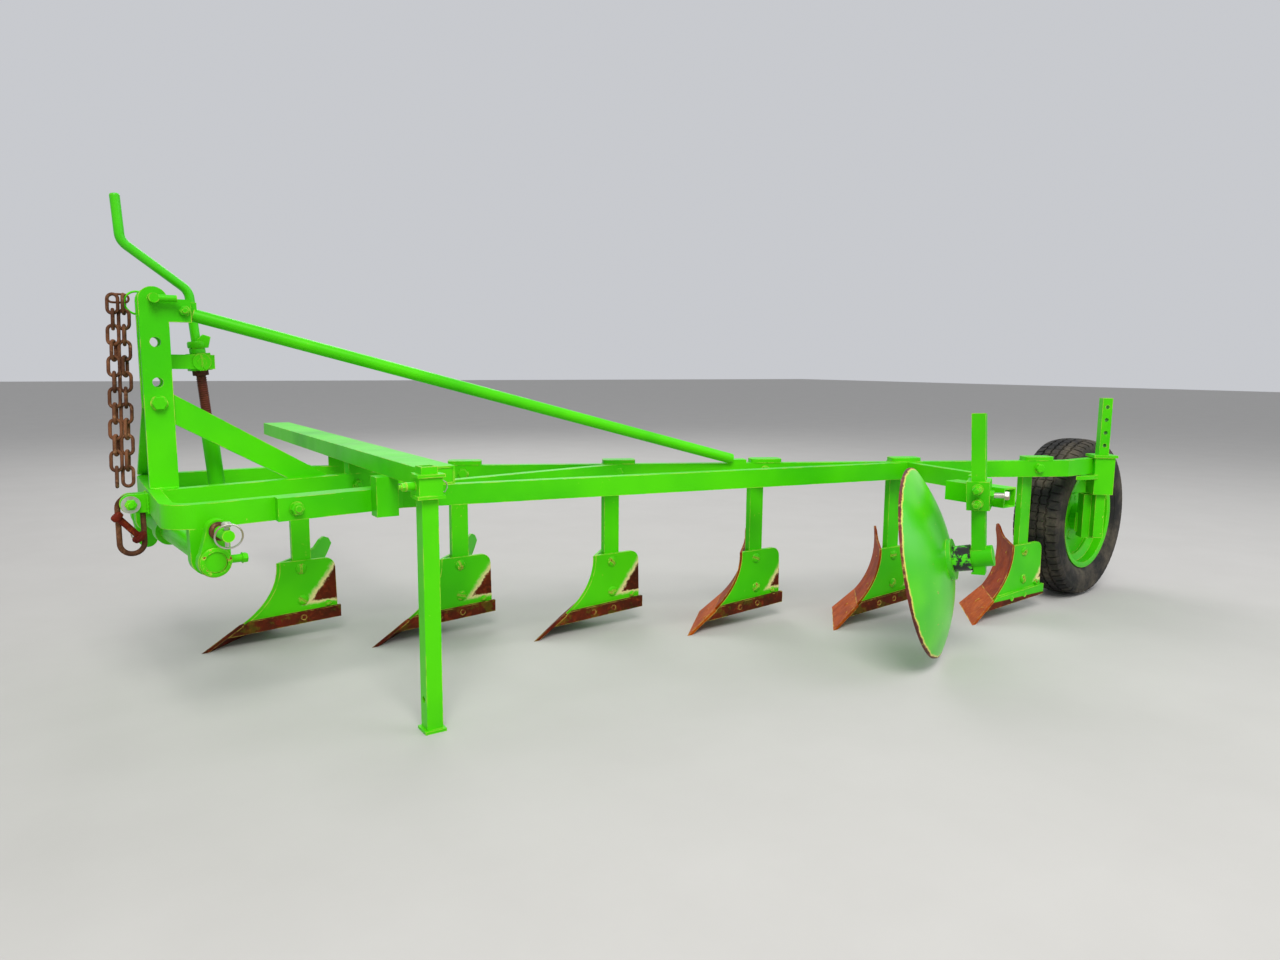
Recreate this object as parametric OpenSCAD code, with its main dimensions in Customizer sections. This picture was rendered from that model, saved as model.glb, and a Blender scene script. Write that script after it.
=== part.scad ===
// Mounted six-body moldboard plough, in millimetres.
// x runs to the rear, y to the plough's right, z up from the ground.
// The layout is drawn from the front bar (x = 0) and the hitch centre (y = 0);
// every sub-part is then moved so that the middle of the plough is the origin.

/* [Bodies] */
// Distance between two bodies along the direction of travel
body_step = 474; // [440:2:500]
// Width that one body cuts
furrow_w = 228; // [215:1:240]
// First share point, behind the front bar
first_tip_x = 148; // [140:1:180]
// First share point, right of the hitch centre
first_tip_y = 335; // [330:1:340]
// Leg front edge, behind its share point
leg_set = 293; // [280:1:300]
// Leg bar width along the direction of travel
leg_w = 60; // [50:1:70]
// Leg bar thickness
leg_t = 22; // [16:1:26]
// Lower end of a leg above the ground
leg_low = 104; // [96:1:112]
// Land plate thickness
plate_t = 12; // [8:1:14]
// Land plate top edge above the ground
plate_top = 264; // [255:1:275]
// Land plate rear edge, behind the share point
plate_rear = 433; // [420:1:445]
// Corner radius of the land plate
plate_round = 32; // [20:1:40]
// Landside bar thickness
landside_t = 12; // [8:1:16]
// Landside bar height
landside_h = 40; // [32:1:44]
// Landside heel, behind the share point
landside_rear = 441; // [430:1:450]
// Landside underside at the heel, above the ground
landside_low = 57; // [50:1:62]

/* [Share and mouldboard] */
// Angle of the cutting edge to the direction of travel
cut_angle = 44.5; // [42:0.5:47]
// Slope of the share
share_pitch = 43; // [40:1:45]
// Share width up its slope
share_w = 112; // [104:1:118]
// Share thickness
share_t = 10; // [8:1:12]
// Wing corner of the share, right of the land plate
share_wing = 205; // [190:1:215]
// Upper far corner of the share, right of the land plate
share_back = 150; // [140:1:165]
// Radius of the mouldboard's working face
mould_r = 242; // [232:1:252]
// Mouldboard thickness
mould_t = 8; // [6:1:10]
// Highest point of the mouldboard above the ground
mould_top = 300; // [290:1:310]
// Tail of the mouldboard along its cutting direction
mould_tail = 505; // [490:1:515]

/* [Frame] */
// Frame bar height
bar_h = 60; // [50:1:66]
// Frame bar thickness
bar_t = 30; // [24:1:34]
// Underside of the frame above the ground
frame_low = 525; // [515:1:535]
// Outer radius of the front bar's bends
bend_r = 70; // [60:1:80]
// Left corner of the front bar, from the hitch centre
corner_left = 387; // [380:1:395]
// Heading of the left arm
arm_yaw = 8.8; // [8:0.1:10]
// Middle bar's near face where it meets the front bar
middle_y = -78; // [-82:1:-74]
// Heading of the middle bar
middle_yaw = 10.6; // [10:0.1:11.5]
// Start of the side beam, behind the front bar
side_x = 258; // [240:1:280]
// Bend of the side beam, behind the front bar
side_bend_x = 598; // [590:1:610]
// Heading of the side beam behind its bend
side_yaw = -10; // [-10.5:0.1:-9.5]
// Kink of the main beam ahead of the rear wheel
kink_x = 2945; // [2935:1:2960]
// Cap plate length
cap_l = 112; // [100:1:120]
// Cap plate thickness
cap_t = 14; // [10:1:18]

/* [Cross beam and parking leg] */
// Cross beam width along the direction of travel
cross_w = 100; // [90:1:110]
// Cross beam height
cross_h = 47; // [40:1:55]
// Cross beam front face, behind the front bar
cross_x = 539; // [530:1:545]
// Cross beam underside above the ground
cross_low = 623; // [615:1:630]
// Right end of the cross beam, from the hitch centre
cross_right = 1218; // [1100:1:1240]
// Left end of the cross beam, from the hitch centre
cross_left = 602; // [590:1:620]
// Wall of the square tubes
tube_wall = 5; // [4:0.5:6]
// Parking leg tube side
park_side = 42; // [38:1:46]
// Top of the parking leg above the ground
park_top = 677; // [670:1:720]
// Sleeve height round the parking leg
sleeve_h = 61; // [50:1:70]
// Sleeve wall
sleeve_wall = 9; // [7:1:12]
// Gap between a sliding tube and its sleeve
slide_gap = 0.4; // [0.3:0.1:0.8]

/* [Headstock] */
// Width of the two uprights
upright_w = 70; // [60:1:80]
// Thickness of the left upright
left_t = 18; // [14:1:20]
// Thickness of the right upright
right_t = 16; // [12:1:18]
// Gap of the fork that takes the top link
fork_gap = 54; // [52:1:60]
// Top pin height above the ground
top_pin_z = 1088; // [1075:1:1095]
// Top pin diameter
top_pin_d = 25; // [22:0.5:25.4]
// Bend of the right upright above the ground
right_bend_z = 800; // [780:5:820]
// Diameter of the top stay
stay_d = 36; // [30:1:42]

/* [Cross shaft] */
// Cross shaft diameter
shaft_d = 50; // [44:1:55]
// Cross shaft height above the ground
shaft_z = 450; // [446:1:455]
// Cross shaft behind the front bar, on the hitch centre line
shaft_x = 63; // [58:1:68]
// Turn of the cross shaft in plan
shaft_yaw = 5.3; // [4.5:0.1:6]
// Outer face of each crank, from the hitch centre
crank_face = 425; // [415:1:435]
// Crank plate thickness
crank_t = 25; // [20:1:28]
// Throw of the cranks
crank_throw = 76; // [70:1:80]
// Lower link pin diameter
link_pin_d = 28; // [22:0.5:28.7]
// Lower link pin length outside the crank
link_pin_l = 92; // [80:1:100]
// Radial clearance of the running fits
run_gap = 0.05; // [0.02:0.01:0.1]
// Lever length from the shaft to its pin
lever_l = 143; // [138:1:148]
// Lean of the adjusting screw
screw_lean = 4.8; // [4:0.1:5.5]
// Diameter of the adjusting screw
screw_d = 28; // [24:1:30]
// Adjusting screw, right of the hitch centre
screw_y = 78; // [76:1:82]

/* [Disc coulter] */
// Disc diameter
disc_d = 600; // [560:5:610]
// Disc thickness
disc_t = 6; // [4:0.5:8]
// Depth of the disc's dish
dish = 78; // [60:1:85]
// Turn of the disc's axle from straight across
disc_yaw = 28.3; // [25:0.1:30]
// Tilt of the disc's axle
disc_tilt = 12; // [10:0.5:14]
// Shank bar side
shank_side = 40; // [36:1:44]
// Top of the shank above the ground
shank_top = 812; // [760:1:820]
// Side of the arm that carries the coulter
arm_side = 60; // [50:1:65]

/* [Rear wheel] */
// Wheel centre, behind the front bar
wheel_x = 3282; // [3272:1:3292]
// Wheel centre, left of the hitch centre
wheel_y = -722; // [-727:1:-715]
// Turn of the wheel in plan
wheel_yaw = 5.7; // [4.5:0.1:6.5]
// Tyre radius
tyre_r = 321; // [312:1:324]
// Tyre width
tyre_w = 186; // [170:1:190]
// Rim seat radius
rim_r = 190; // [180:1:196]
// Rim width
rim_w = 152; // [140:1:156]
// Wheel post side
post_side = 36; // [32:1:40]
// Top of the wheel post above the ground
post_top = 815; // [780:1:840]

/* [Hidden] */
$fn = 64;

green = "#35b52a";
rust = "#7a3418";
grey = "#9a9a94";
black = "#202020";

// Foremost point of the plough: the lowest links of the hanging chain.
front_reach = -81.8;
// Rearmost point: the tread's shoulder, which lies this far in from the tyre's side.
shoulder_in = 44;
rear_reach = wheel_x + tyre_r * cos(wheel_yaw) + (tyre_w / 2 - shoulder_in) * sin(wheel_yaw);
// Near end of the arm that carries the coulter.
arm_near = -1150;
left_reach = arm_near;
// Middle of the whole plough in the layout: the origin goes there.
mid_x = (front_reach + rear_reach) / 2;
mid_y = (left_reach + cross_right) / 2;

frame_top = frame_low + bar_h;
// Plan lines are kept as [a point, a heading in degrees].
function meet(p, a, q, b) =
    let (d = ((q[0] - p[0]) * sin(b) - (q[1] - p[1]) * cos(b)) / (cos(a) * sin(b) - sin(a) * cos(b)))
    [p[0] + d * cos(a), p[1] + d * sin(a)];
function side(p, a, off) = [p[0] - off * sin(a), p[1] + off * cos(a)];

// Land plate, leg and landside faces, measured from the share point to the right.
plate_face = -4;
leg_face = plate_face + plate_t;
landside_face = plate_face - landside_t;

// Main beam: its far face passes the front edges of the legs.
beam_yaw = -atan(furrow_w / body_step);
beam_far = [first_tip_x + leg_set, first_tip_y + leg_face];
beam_near = side(beam_far, beam_yaw, -bar_t);
// Right arm of the front bar: its far face carries the first leg.
arm_far_y = first_tip_y + leg_face;
arm_near_y = arm_far_y - bar_t;
arm_end_x = first_tip_x + leg_set + leg_w + 7;

// Left arm, middle bar and side beam: near faces.
left_near = [0, -corner_left + bend_r * (1 - cos(arm_yaw)) / cos(arm_yaw)];
left_far = side(left_near, arm_yaw, bar_t);
middle_near = [bar_t / 2, middle_y];
middle_far = side(middle_near, middle_yaw, bar_t);
side_far = left_near;
side_near = side(side_far, arm_yaw, -bar_t);
side_bend = meet(side_near, arm_yaw, [side_bend_x, 0], 90);
side_bend_far = meet(side_far, arm_yaw, side(side_bend, side_yaw, bar_t), side_yaw);

// Body centre helpers.
function tip(k) = [first_tip_x + k * body_step, first_tip_y - k * furrow_w];

// Cutting geometry of a body: n runs level from the cutting edge to the land side.
share_run = share_w * cos(share_pitch);
share_rise = share_w * sin(share_pitch);
mould_n = share_run - mould_r * sin(share_pitch);
mould_z = share_rise + mould_r * cos(share_pitch);
function edge_x(n, y) = (n + y * cos(cut_angle)) / sin(cut_angle);

module placed() {
    translate([-mid_x, -mid_y, 0])
        children();
}

module bar(outline) {
    translate([0, 0, frame_low])
        linear_extrude(bar_h)
            polygon(outline);
}

// The far side of a plan line, as a big block, to cut what ends on that line.
module beyond(p, a, z0 = 0, h = 1400) {
    reach = 2000;
    translate([p[0], p[1], z0])
        rotate([0, 0, a])
            translate([-reach, 0, 0])
                cube([2 * reach, reach, h]);
}

module square_tube(side, wall, length) {
    difference() {
        translate([-side / 2, -side / 2, 0])
            cube([side, side, length]);
        translate([-side / 2 + wall, -side / 2 + wall, -1])
            cube([side - 2 * wall, side - 2 * wall, length + 2]);
    }
}

// Frame

// Points of a bend round a centre, from one angle on through another.
bend_steps = 16;
function arc(centre, r, from, turn) =
    [for (i = [0:bend_steps]) centre + r * [cos(from + turn * i / bend_steps), sin(from + turn * i / bend_steps)]];

module front_bar() {
    left_turn = 90 + arm_yaw;
    left_corner = [bend_r, left_near[1] + bend_r * tan(arm_yaw) + bend_r / cos(arm_yaw)];
    right_corner = [bend_r, arm_far_y - bend_r];
    inner_r = bend_r - bar_t;
    color(green)
        placed()
            bar(concat([[arm_end_x, arm_far_y]],
                arc(right_corner, bend_r, 90, 90),
                arc(left_corner, bend_r, 180, left_turn),
                [meet(left_near, arm_yaw, beam_near, beam_yaw)],
                [meet(left_far, arm_yaw, beam_near, beam_yaw)],
                arc(left_corner, inner_r, 180 + left_turn, -left_turn),
                arc(right_corner, inner_r, 180, -90),
                [[arm_end_x, arm_near_y]]));
}

module middle_bar() {
    color(green)
        placed()
            bar([meet(middle_near, middle_yaw, [bar_t, 0], 90),
                meet(middle_near, middle_yaw, beam_near, beam_yaw),
                meet(middle_far, middle_yaw, beam_near, beam_yaw),
                meet(middle_far, middle_yaw, [bar_t, 0], 90)]);
}

// Open bolt hole at the side beam's front end.
side_hole_in = 53;
side_hole_d = 20;
module side_beam() {
    far_b = side(side_bend, side_yaw, bar_t);
    color(green)
        placed()
            difference() {
                bar([meet(side_near, arm_yaw, [side_x, 0], 90), side_bend,
                    meet(side_bend, side_yaw, beam_near, beam_yaw),
                    meet(far_b, side_yaw, beam_near, beam_yaw),
                    side_bend_far,
                    meet(side_far, arm_yaw, [side_x, 0], 90)]);
                translate([side_x + side_hole_in, side_near[1], frame_low + bar_h / 2])
                    rotate([-90, 0, arm_yaw])
                        cylinder(d = side_hole_d, h = 4 * bar_t + 80);
            }
}

kink_near = meet(beam_near, beam_yaw, [kink_x, 0], 90);
tail_far_y = kink_near[1] + bar_t;
// Wheel post: middle in plan, its turn, and the collar that holds it.
post_x = 3152;
post_y = -906;
post_yaw = -39.3;
collar_side = 72;
collar_low = 446;
collar_top = 598;

module collar_block(grow = 0) {
    translate([post_x, post_y, collar_low])
        rotate([0, 0, post_yaw])
            translate([-collar_side / 2 - grow, -collar_side / 2 - grow, 0])
                cube([collar_side + 2 * grow, collar_side + 2 * grow, collar_top - collar_low]);
}

module main_beam() {
    color(green)
        placed()
            difference() {
                bar([meet(beam_near, beam_yaw, [0, arm_near_y], 0), kink_near,
                    [post_x, kink_near[1]], [post_x, tail_far_y],
                    meet(beam_far, beam_yaw, [0, tail_far_y], 0),
                    meet(beam_far, beam_yaw, [0, arm_near_y], 0)]);
                collar_block();
            }
}

module cross_beam() {
    color(green)
        placed()
            difference() {
                translate([cross_x, -cross_left, cross_low])
                    cube([cross_w, cross_left + cross_right, cross_h]);
                translate([cross_x + tube_wall, -cross_left - 1, cross_low + tube_wall])
                    cube([cross_w - 2 * tube_wall, cross_left + cross_right + 2,
                        cross_h - 2 * tube_wall]);
            }
}

bracket_l = 80;
// Bracket between the side beam and the cross beam: length, width and how far it stands left.
side_bracket_l = 60;
side_bracket_w = 90;
side_bracket_out = 62;
bracket_front = cross_x - 34;
bracket_drop = 10;
module beam_brackets() {
    // Columns: bar's near line, its heading, block length along the bar.
    blocks = [[beam_near, beam_yaw], [middle_near, middle_yaw]];
    color(green)
        placed() {
            for (b = blocks) {
                start = meet(b[0], b[1], [cross_x + 10, 0], 90);
                translate([start[0], start[1], frame_top])
                    rotate([0, 0, b[1]])
                        cube([bracket_l, bar_t, cross_low - frame_top]);
            }
            difference() {
                translate([bracket_front, side_bend[1] - side_bracket_out, frame_low - bracket_drop])
                    cube([side_bracket_l, side_bracket_w, cross_low - frame_low + bracket_drop]);
                beyond(side_near, arm_yaw);
            }
        }
}

park_x = cross_x + 14;
park_y = -cross_left - sleeve_wall - park_side / 2 - slide_gap;
sleeve_drop = 18;
sleeve_low = cross_low + cross_h / 2 - sleeve_h / 2 - sleeve_drop;
sleeve_rim = 5;
sleeve_rim_h = 8;
boss_d = 22;
module leg_sleeve() {
    out = park_side + 2 * sleeve_wall + 2 * slide_gap;
    color(green)
        placed()
            translate([park_x, park_y, sleeve_low])
                difference() {
                    union() {
                        translate([-out / 2, -out / 2, 0])
                            cube([out, out, sleeve_h]);
                        for (z = [0, sleeve_h - sleeve_rim_h])
                            translate([-out / 2 - sleeve_rim, -out / 2 - sleeve_rim, z])
                                cube([out + 2 * sleeve_rim, out / 2 + 2 * sleeve_rim, sleeve_rim_h]);
                        translate([-out / 2, 0, sleeve_h / 2])
                            rotate([0, -90, 0])
                                cylinder(d = boss_d, h = boss_d);
                    }
                    translate([-park_side / 2 - slide_gap, -park_side / 2 - slide_gap, -1])
                        cube([park_side + 2 * slide_gap, park_side + 2 * slide_gap, sleeve_h + 2]);
                }
}

foot_t = 8;
foot_side = 56;
foot_hole_up = 76;
foot_hole_d = 18;
module parking_leg() {
    color(green)
        placed()
            translate([park_x, park_y, 0]) {
                translate([0, 0, foot_t])
                    difference() {
                        square_tube(park_side, tube_wall, park_top - foot_t);
                        translate([0, 0, foot_hole_up])
                            rotate([0, 90, 0])
                                cylinder(d = foot_hole_d, h = park_side * 2, center = true);
                    }
                translate([-foot_side / 2, -foot_side / 2, 0])
                    cube([foot_side, foot_side, foot_t]);
            }
}

// Headstock

left_near_y = -43;
left_far_y = left_near_y + left_t;
right_near_y = left_far_y + fork_gap;
upright_x = 6;
upright_mid = upright_x + upright_w / 2;
stay_z = 1058;
// Spacer bolt through both uprights, and the lug that carries the top stay.
spacer_z = 814;
spacer_d = 44;
spacer_l = fork_gap / 2 - 8;
lug_out = 37;
lug_h = 60;
lug_l = 64;
lug_root = 10;
stay_hole_d = 20;

// The round top of an upright stands a little below its pin's middle.
crown_z = top_pin_z - 4;
module upright_outline(low) {
    translate([upright_x, low])
        square([upright_w, crown_z - low]);
    translate([upright_mid, crown_z])
        circle(d = upright_w, $fn = 96);
}

// Turns an x-z outline into a plate between y0 and y0 + t.
module plate_y(y0, t) {
    translate([0, y0 + t, 0])
        rotate([90, 0, 0])
            linear_extrude(t)
                children();
}

// Columns: height of a hole above the ground, diameter.
link_hole_d = 26;
upright_holes = [[top_pin_z, top_pin_d + 2 * run_gap], [975, link_hole_d], [869, link_hole_d]];

module cross_hole(x, y0, z, d, l) {
    translate([x, y0, z])
        rotate([-90, 0, 0])
            cylinder(d = d, h = l);
}

module left_upright() {
    color(green)
        placed()
            difference() {
                union() {
                    plate_y(left_near_y, left_t) {
                        upright_outline(frame_low);
                        translate([upright_x + upright_w - lug_root, stay_z - lug_h / 2])
                            square([lug_l, lug_h]);
                    }
                    cross_hole(upright_mid, left_far_y, spacer_z, spacer_d, spacer_l);
                }
                for (h = upright_holes)
                    cross_hole(upright_mid, left_near_y - 20, h[0], h[1], left_t + 40);
                cross_hole(upright_x + upright_w + lug_out, left_near_y - 1, stay_z, stay_hole_d, left_t + 2);
                translate([upright_x - 1, left_near_y - 1, frame_low - 1])
                    cube([bar_t - upright_x + 1, left_t + 2, bar_h + 1]);
                difference() {
                    translate([upright_x, left_near_y - 20, frame_low - 1])
                        cube([upright_w + 1, 40, bar_h + 1]);
                    beyond(middle_far, middle_yaw);
                }
            }
}

foot_y = arm_far_y - bar_t / 2;
module right_upright() {
    run = foot_y - right_near_y - right_t / 2;
    drop = right_bend_z - frame_top;
    lean = atan(run / drop);
    color(green)
        placed()
            difference() {
                union() {
                    plate_y(right_near_y, right_t)
                        upright_outline(right_bend_z);
                    cross_hole(upright_mid, right_near_y - spacer_l, spacer_z, spacer_d, spacer_l);
                    translate([upright_x, right_near_y, 0])
                        rotate([90, 0, 90])
                            linear_extrude(upright_w)
                                polygon([[0, right_bend_z], [right_t, right_bend_z],
                                    [run + right_t / cos(lean), frame_top], [run, frame_top]]);
                }
                for (h = upright_holes)
                    cross_hole(upright_mid, right_near_y - 20, h[0], h[1], right_t + 40);
            }
}

strut_t = 14;
// Strut's outline along the middle bar: distance from the bar's front end, height.
strut_line = [[0, 878], [0, 796], [400, 566], [400, 540], [500, 540], [520, 566]];
strut_hole_x = 450;
strut_hole_z = 560;
strut_hole_d = 18;
module strut() {
    front = upright_x + upright_w;
    color(green)
        placed()
            difference() {
                translate([middle_near[0], middle_near[1], 0])
                    rotate([0, 0, middle_yaw])
                        plate_y(bar_t, strut_t)
                            polygon(strut_line);
                translate([-100, -200, 500])
                    cube([100 + front, 400, 500]);
                translate([middle_near[0], middle_near[1], 0])
                    rotate([0, 0, middle_yaw])
                        cross_hole(strut_hole_x, bar_t - 1, strut_hole_z, strut_hole_d, strut_t + 2);
            }
}

// Top stay: the two ends of its middle line.
stay_front = [138, -14, stay_z - 9];
stay_rear = [1775, -334, frame_top + 16];
module rod(p, q, d) {
    v = q - p;
    l = norm(v);
    translate(p)
        rotate([0, acos(v[2] / l), atan2(v[1], v[0])])
            cylinder(d = d, h = l);
}

module top_stay() {
    lug_x = upright_x + upright_w + lug_out;
    tab_t = 12;
    tab_h = 48;
    foot_l = 64;
    stay_lap = 8;
    tab = meet(beam_near, beam_yaw, [stay_rear[0] - 6, 0], 90);
    color(green)
        placed()
            difference() {
                union() {
                    rod(stay_front, stay_rear, stay_d);
                    plate_y(left_far_y, tab_t) {
                        translate([lug_x, stay_z - tab_h / 2])
                            square([stay_front[0] - lug_x + stay_lap, tab_h]);
                        translate([lug_x, stay_z])
                            circle(d = tab_h);
                    }
                    translate([tab[0], tab[1], frame_top])
                        rotate([0, 0, beam_yaw])
                            cube([foot_l, bar_t + 14, tab_t]);
                }
                cross_hole(lug_x, left_far_y - 1, stay_z, stay_hole_d, tab_t + 2);
                translate([1600, -500, frame_top - 60])
                    cube([400, 400, 60]);
            }
}

pin_end = 30;
hoop_r = 30;
hoop_wire = 6;
grip_l = 54;
grip_d = 18;
module top_pin() {
    pin_y0 = left_near_y - pin_end;
    pin_l = right_near_y + right_t + pin_end - pin_y0;
    color(grey)
        placed() {
            cross_hole(upright_mid, pin_y0, top_pin_z, top_pin_d, pin_l);
            translate([upright_mid, pin_y0 + 9, top_pin_z])
                rod([0, 0, 0], [grip_l, 0, 0], grip_d);
            translate([upright_mid - hoop_r + 2, right_near_y + right_t + 18, top_pin_z - 8])
                rotate([90, 0, 0])
                    rotate_extrude()
                        translate([hoop_r, 0])
                            circle(d = hoop_wire, $fn = 24);
        }
}

// Cross shaft: y runs along the shaft, x to the rear, z up.
module shaft_frame() {
    placed()
        translate([shaft_x, 0, shaft_z])
            rotate([0, 0, shaft_yaw])
                children();
}

module along_shaft(y0, d, l) {
    translate([0, y0, 0])
        rotate([-90, 0, 0])
            cylinder(d = d, h = l);
}

bearing_t = 32;
bearing_w = 84;
// Inner faces of the two bearings along the shaft.
bearing_left = -374;
bearing_right = 308;
module shaft_bearings() {
    color(green)
        shaft_frame()
            for (y0 = [bearing_left, bearing_right])
                difference() {
                    union() {
                        along_shaft(y0, bearing_w, bearing_t);
                        translate([-bearing_w / 2, y0, 0])
                            cube([bearing_w, bearing_t, frame_low - shaft_z]);
                    }
                    along_shaft(y0 - 1, shaft_d + 2 * run_gap, bearing_t + 2);
                }
}

// The lever stands square to the screw, so x runs along the lever here.
module screw_frame() {
    shaft_frame()
        translate([0, screw_y, 0])
            rotate([0, -screw_lean, 0])
                children();
}

lever_t = 16;
lever_boss_w = 44;
lever_boss_d = shaft_d + 26;
lever_root = 34;
lever_eye_d = 48;
lever_pin_d = 20;
lever_play = 2.2;
shaft_end = crank_face + 6;
module cross_shaft() {
    color(green) {
        shaft_frame()
            along_shaft(-shaft_end, shaft_d, 2 * shaft_end);
        screw_frame()
            difference() {
                union() {
                    translate([0, -lever_boss_w / 2, 0])
                        rotate([-90, 0, 0])
                            cylinder(d = lever_boss_d, h = lever_boss_w);
                    plate_y(-lever_t / 2, lever_t) {
                        polygon([[0, -lever_root], [lever_l, -lever_eye_d / 2],
                            [lever_l, lever_eye_d / 2], [0, lever_root]]);
                        translate([lever_l, 0])
                            circle(d = lever_eye_d);
                    }
                }
                cross_hole(lever_l, -lever_t, 0, lever_pin_d + 2 * lever_play, 2 * lever_t);
            }
    }
}

crank_boss_d = 76;
crank_eye_d = 54;
set_bolt_d = 20;
set_bolt_out = 26;
// Hole for the linch pin: its diameter, and how far from the link pin's end.
linch_d = 12;
linch_in = 16;
// A crank plate with its pin; out is -1 on the left and 1 on the right.
module crank(out, turn) {
    eye = [crank_throw * cos(turn), crank_throw * sin(turn)];
    face = out < 0 ? -crank_face : crank_face - crank_t;
    pin_from = out < 0 ? -crank_face - link_pin_l : crank_face - crank_t;
    color(green)
        shaft_frame()
            difference() {
                union() {
                    plate_y(face, crank_t) {
                        circle(d = crank_boss_d);
                        translate(eye)
                            circle(d = crank_eye_d);
                        rotate(turn)
                            polygon([[0, -crank_boss_d / 2 + 2], [crank_throw, -crank_eye_d / 2 + 1],
                                [crank_throw, crank_eye_d / 2 - 1], [0, crank_boss_d / 2 - 2]]);
                    }
                    translate([eye[0], 0, eye[1]])
                        along_shaft(pin_from, link_pin_d, link_pin_l + crank_t);
                    translate([0, face + crank_t / 2, 0])
                        rod([0, 0, 0], [crank_boss_d / 2 + set_bolt_out, 0, 0], set_bolt_d);
                }
                along_shaft(-crank_face - 50, shaft_d, 2 * crank_face + 100);
                translate([eye[0], out * (crank_face + link_pin_l - linch_in), eye[1]])
                    cylinder(d = linch_d, h = 2 * link_pin_d, center = true);
            }
}

// Turn of each crank, up from straight back.
left_turn = 82.5;
right_turn = -88;
module left_crank() {
    crank(-1, left_turn);
}

module right_crank() {
    crank(1, right_turn);
}

trunnion_h = 463;
trunnion_w = 41;
trunnion_l = 56;
trunnion_t = 48;
stop_t = 14;
// Fork's near arm runs from this far ahead of the shaft to this far behind the pin.
arm_front = 46;
arm_rear = 34;
arm_t = 12;
arm_h = 40;
trunnion_x = lever_l * cos(screw_lean) - trunnion_h * sin(screw_lean);
trunnion_z = lever_l * sin(screw_lean) + trunnion_h * cos(screw_lean);
stub_d = 24;
module screw_bracket() {
    half = trunnion_w / 2;
    color(green)
        difference() {
            shaft_frame()
                translate([0, screw_y, trunnion_z - arm_h / 2])
                    difference() {
                        union() {
                            translate([-arm_front, -half - arm_t, 0])
                                cube([trunnion_x + arm_front + arm_rear, arm_t, arm_h]);
                            translate([arm_rear, half, 0])
                                cube([trunnion_x, arm_t, arm_h]);
                            translate([arm_rear, -half, 0])
                                cube([arm_t, trunnion_w, arm_h]);
                        }
                        cross_hole(trunnion_x, -half - arm_t - 1, arm_h / 2, stub_d + 2 * run_gap,
                            trunnion_w + 2 * arm_t + 2);
                    }
            placed()
                translate([-200, right_near_y + right_t - 200, 500])
                    cube([400, 200, 600]);
        }
}

module trunnion() {
    color(grey)
        screw_frame()
            translate([lever_l, 0, trunnion_h])
                difference() {
                    union() {
                        translate([-trunnion_l / 2, -trunnion_w / 2, -trunnion_t / 2])
                            cube([trunnion_l, trunnion_w, trunnion_t]);
                        cross_hole(0, -trunnion_w / 2 - arm_t - 4, 0, stub_d, trunnion_w + 2 * arm_t + 8);
                    }
                    cylinder(d = screw_d + 2 * run_gap, h = 100, center = true);
                }
}

// Points of the crank handle in the plane of the screw: along the lever, along the screw.
handle_d = 25;
handle_path = [[143, 500], [143, 660], [-6, 795], [-2, 912]];
screw_from = 110;
module screw() {
    shift = lever_l - handle_path[0][0];
    color(rust)
        screw_frame() {
            translate([lever_l, 0, screw_from])
                cylinder(d = screw_d, h = handle_path[0][1] - screw_from);
            for (z = [trunnion_h - trunnion_t / 2 - stop_t, trunnion_h + trunnion_t / 2])
                translate([lever_l, 0, z])
                    cylinder(d = screw_d + stop_t, h = stop_t);
        }
    color(green)
        screw_frame()
            translate([shift, 0, 0]) {
                for (i = [0:len(handle_path) - 2]) {
                    p = handle_path[i];
                    q = handle_path[i + 1];
                    rod([p[0], 0, p[1]], [q[0], 0, q[1]], handle_d);
                    translate([q[0], 0, q[1]])
                        sphere(d = handle_d + 1);
                }
            }
}

tube_d = 44;
tube_low = 34;
tube_top = 250;
ear_t = 10;
pin_proud = 6;
bore_from = 60;
module screw_tube() {
    ear_in = lever_t / 2 + 0.5;
    color(green)
        screw_frame()
            translate([lever_l, 0, 0])
                difference() {
                    union() {
                        translate([0, 0, tube_low])
                            cylinder(d = tube_d, h = tube_top - tube_low);
                        for (y0 = [-ear_in - ear_t, ear_in])
                            plate_y(y0, ear_t) {
                                translate([-tube_d / 2, 0])
                                    square([tube_d, tube_low + 20]);
                                circle(d = tube_d);
                            }
                        cross_hole(0, -ear_in - ear_t - pin_proud, 0, lever_pin_d,
                            2 * (ear_in + ear_t + pin_proud));
                    }
                    translate([0, 0, bore_from])
                        cylinder(d = screw_d + 0.6, h = tube_top);
                }
}

clevis_x = -42;
clevis_z = 551;
clevis_y = -31;
clevis_gap = 18;
clevis_t = 12;
clevis_h = 50;
clevis_pin_d = 20;
washer_d = 40;
washer_t = 4;
clevis_out = clevis_gap / 2 + clevis_t;
clevis_pin_l = 2 * (clevis_out + washer_t) + 18;
bow_wire = 14;
bow_in = 22;
bow_l = 96;
module clevis() {
    color(green)
        placed() {
            for (y0 = [clevis_y - clevis_gap / 2 - clevis_t, clevis_y + clevis_gap / 2])
                plate_y(y0, clevis_t)
                    difference() {
                        union() {
                            translate([clevis_x, clevis_z - clevis_h / 2])
                                square([-clevis_x, clevis_h]);
                            translate([clevis_x, clevis_z])
                                circle(d = clevis_h);
                        }
                        translate([clevis_x, clevis_z])
                            circle(d = clevis_pin_d);
                    }
            cross_hole(clevis_x, clevis_y - clevis_pin_l / 2, clevis_z, clevis_pin_d, clevis_pin_l);
            for (y0 = [clevis_y - clevis_out - washer_t, clevis_y + clevis_out])
                cross_hole(clevis_x, y0, clevis_z, washer_d, washer_t);
        }
}

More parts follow.
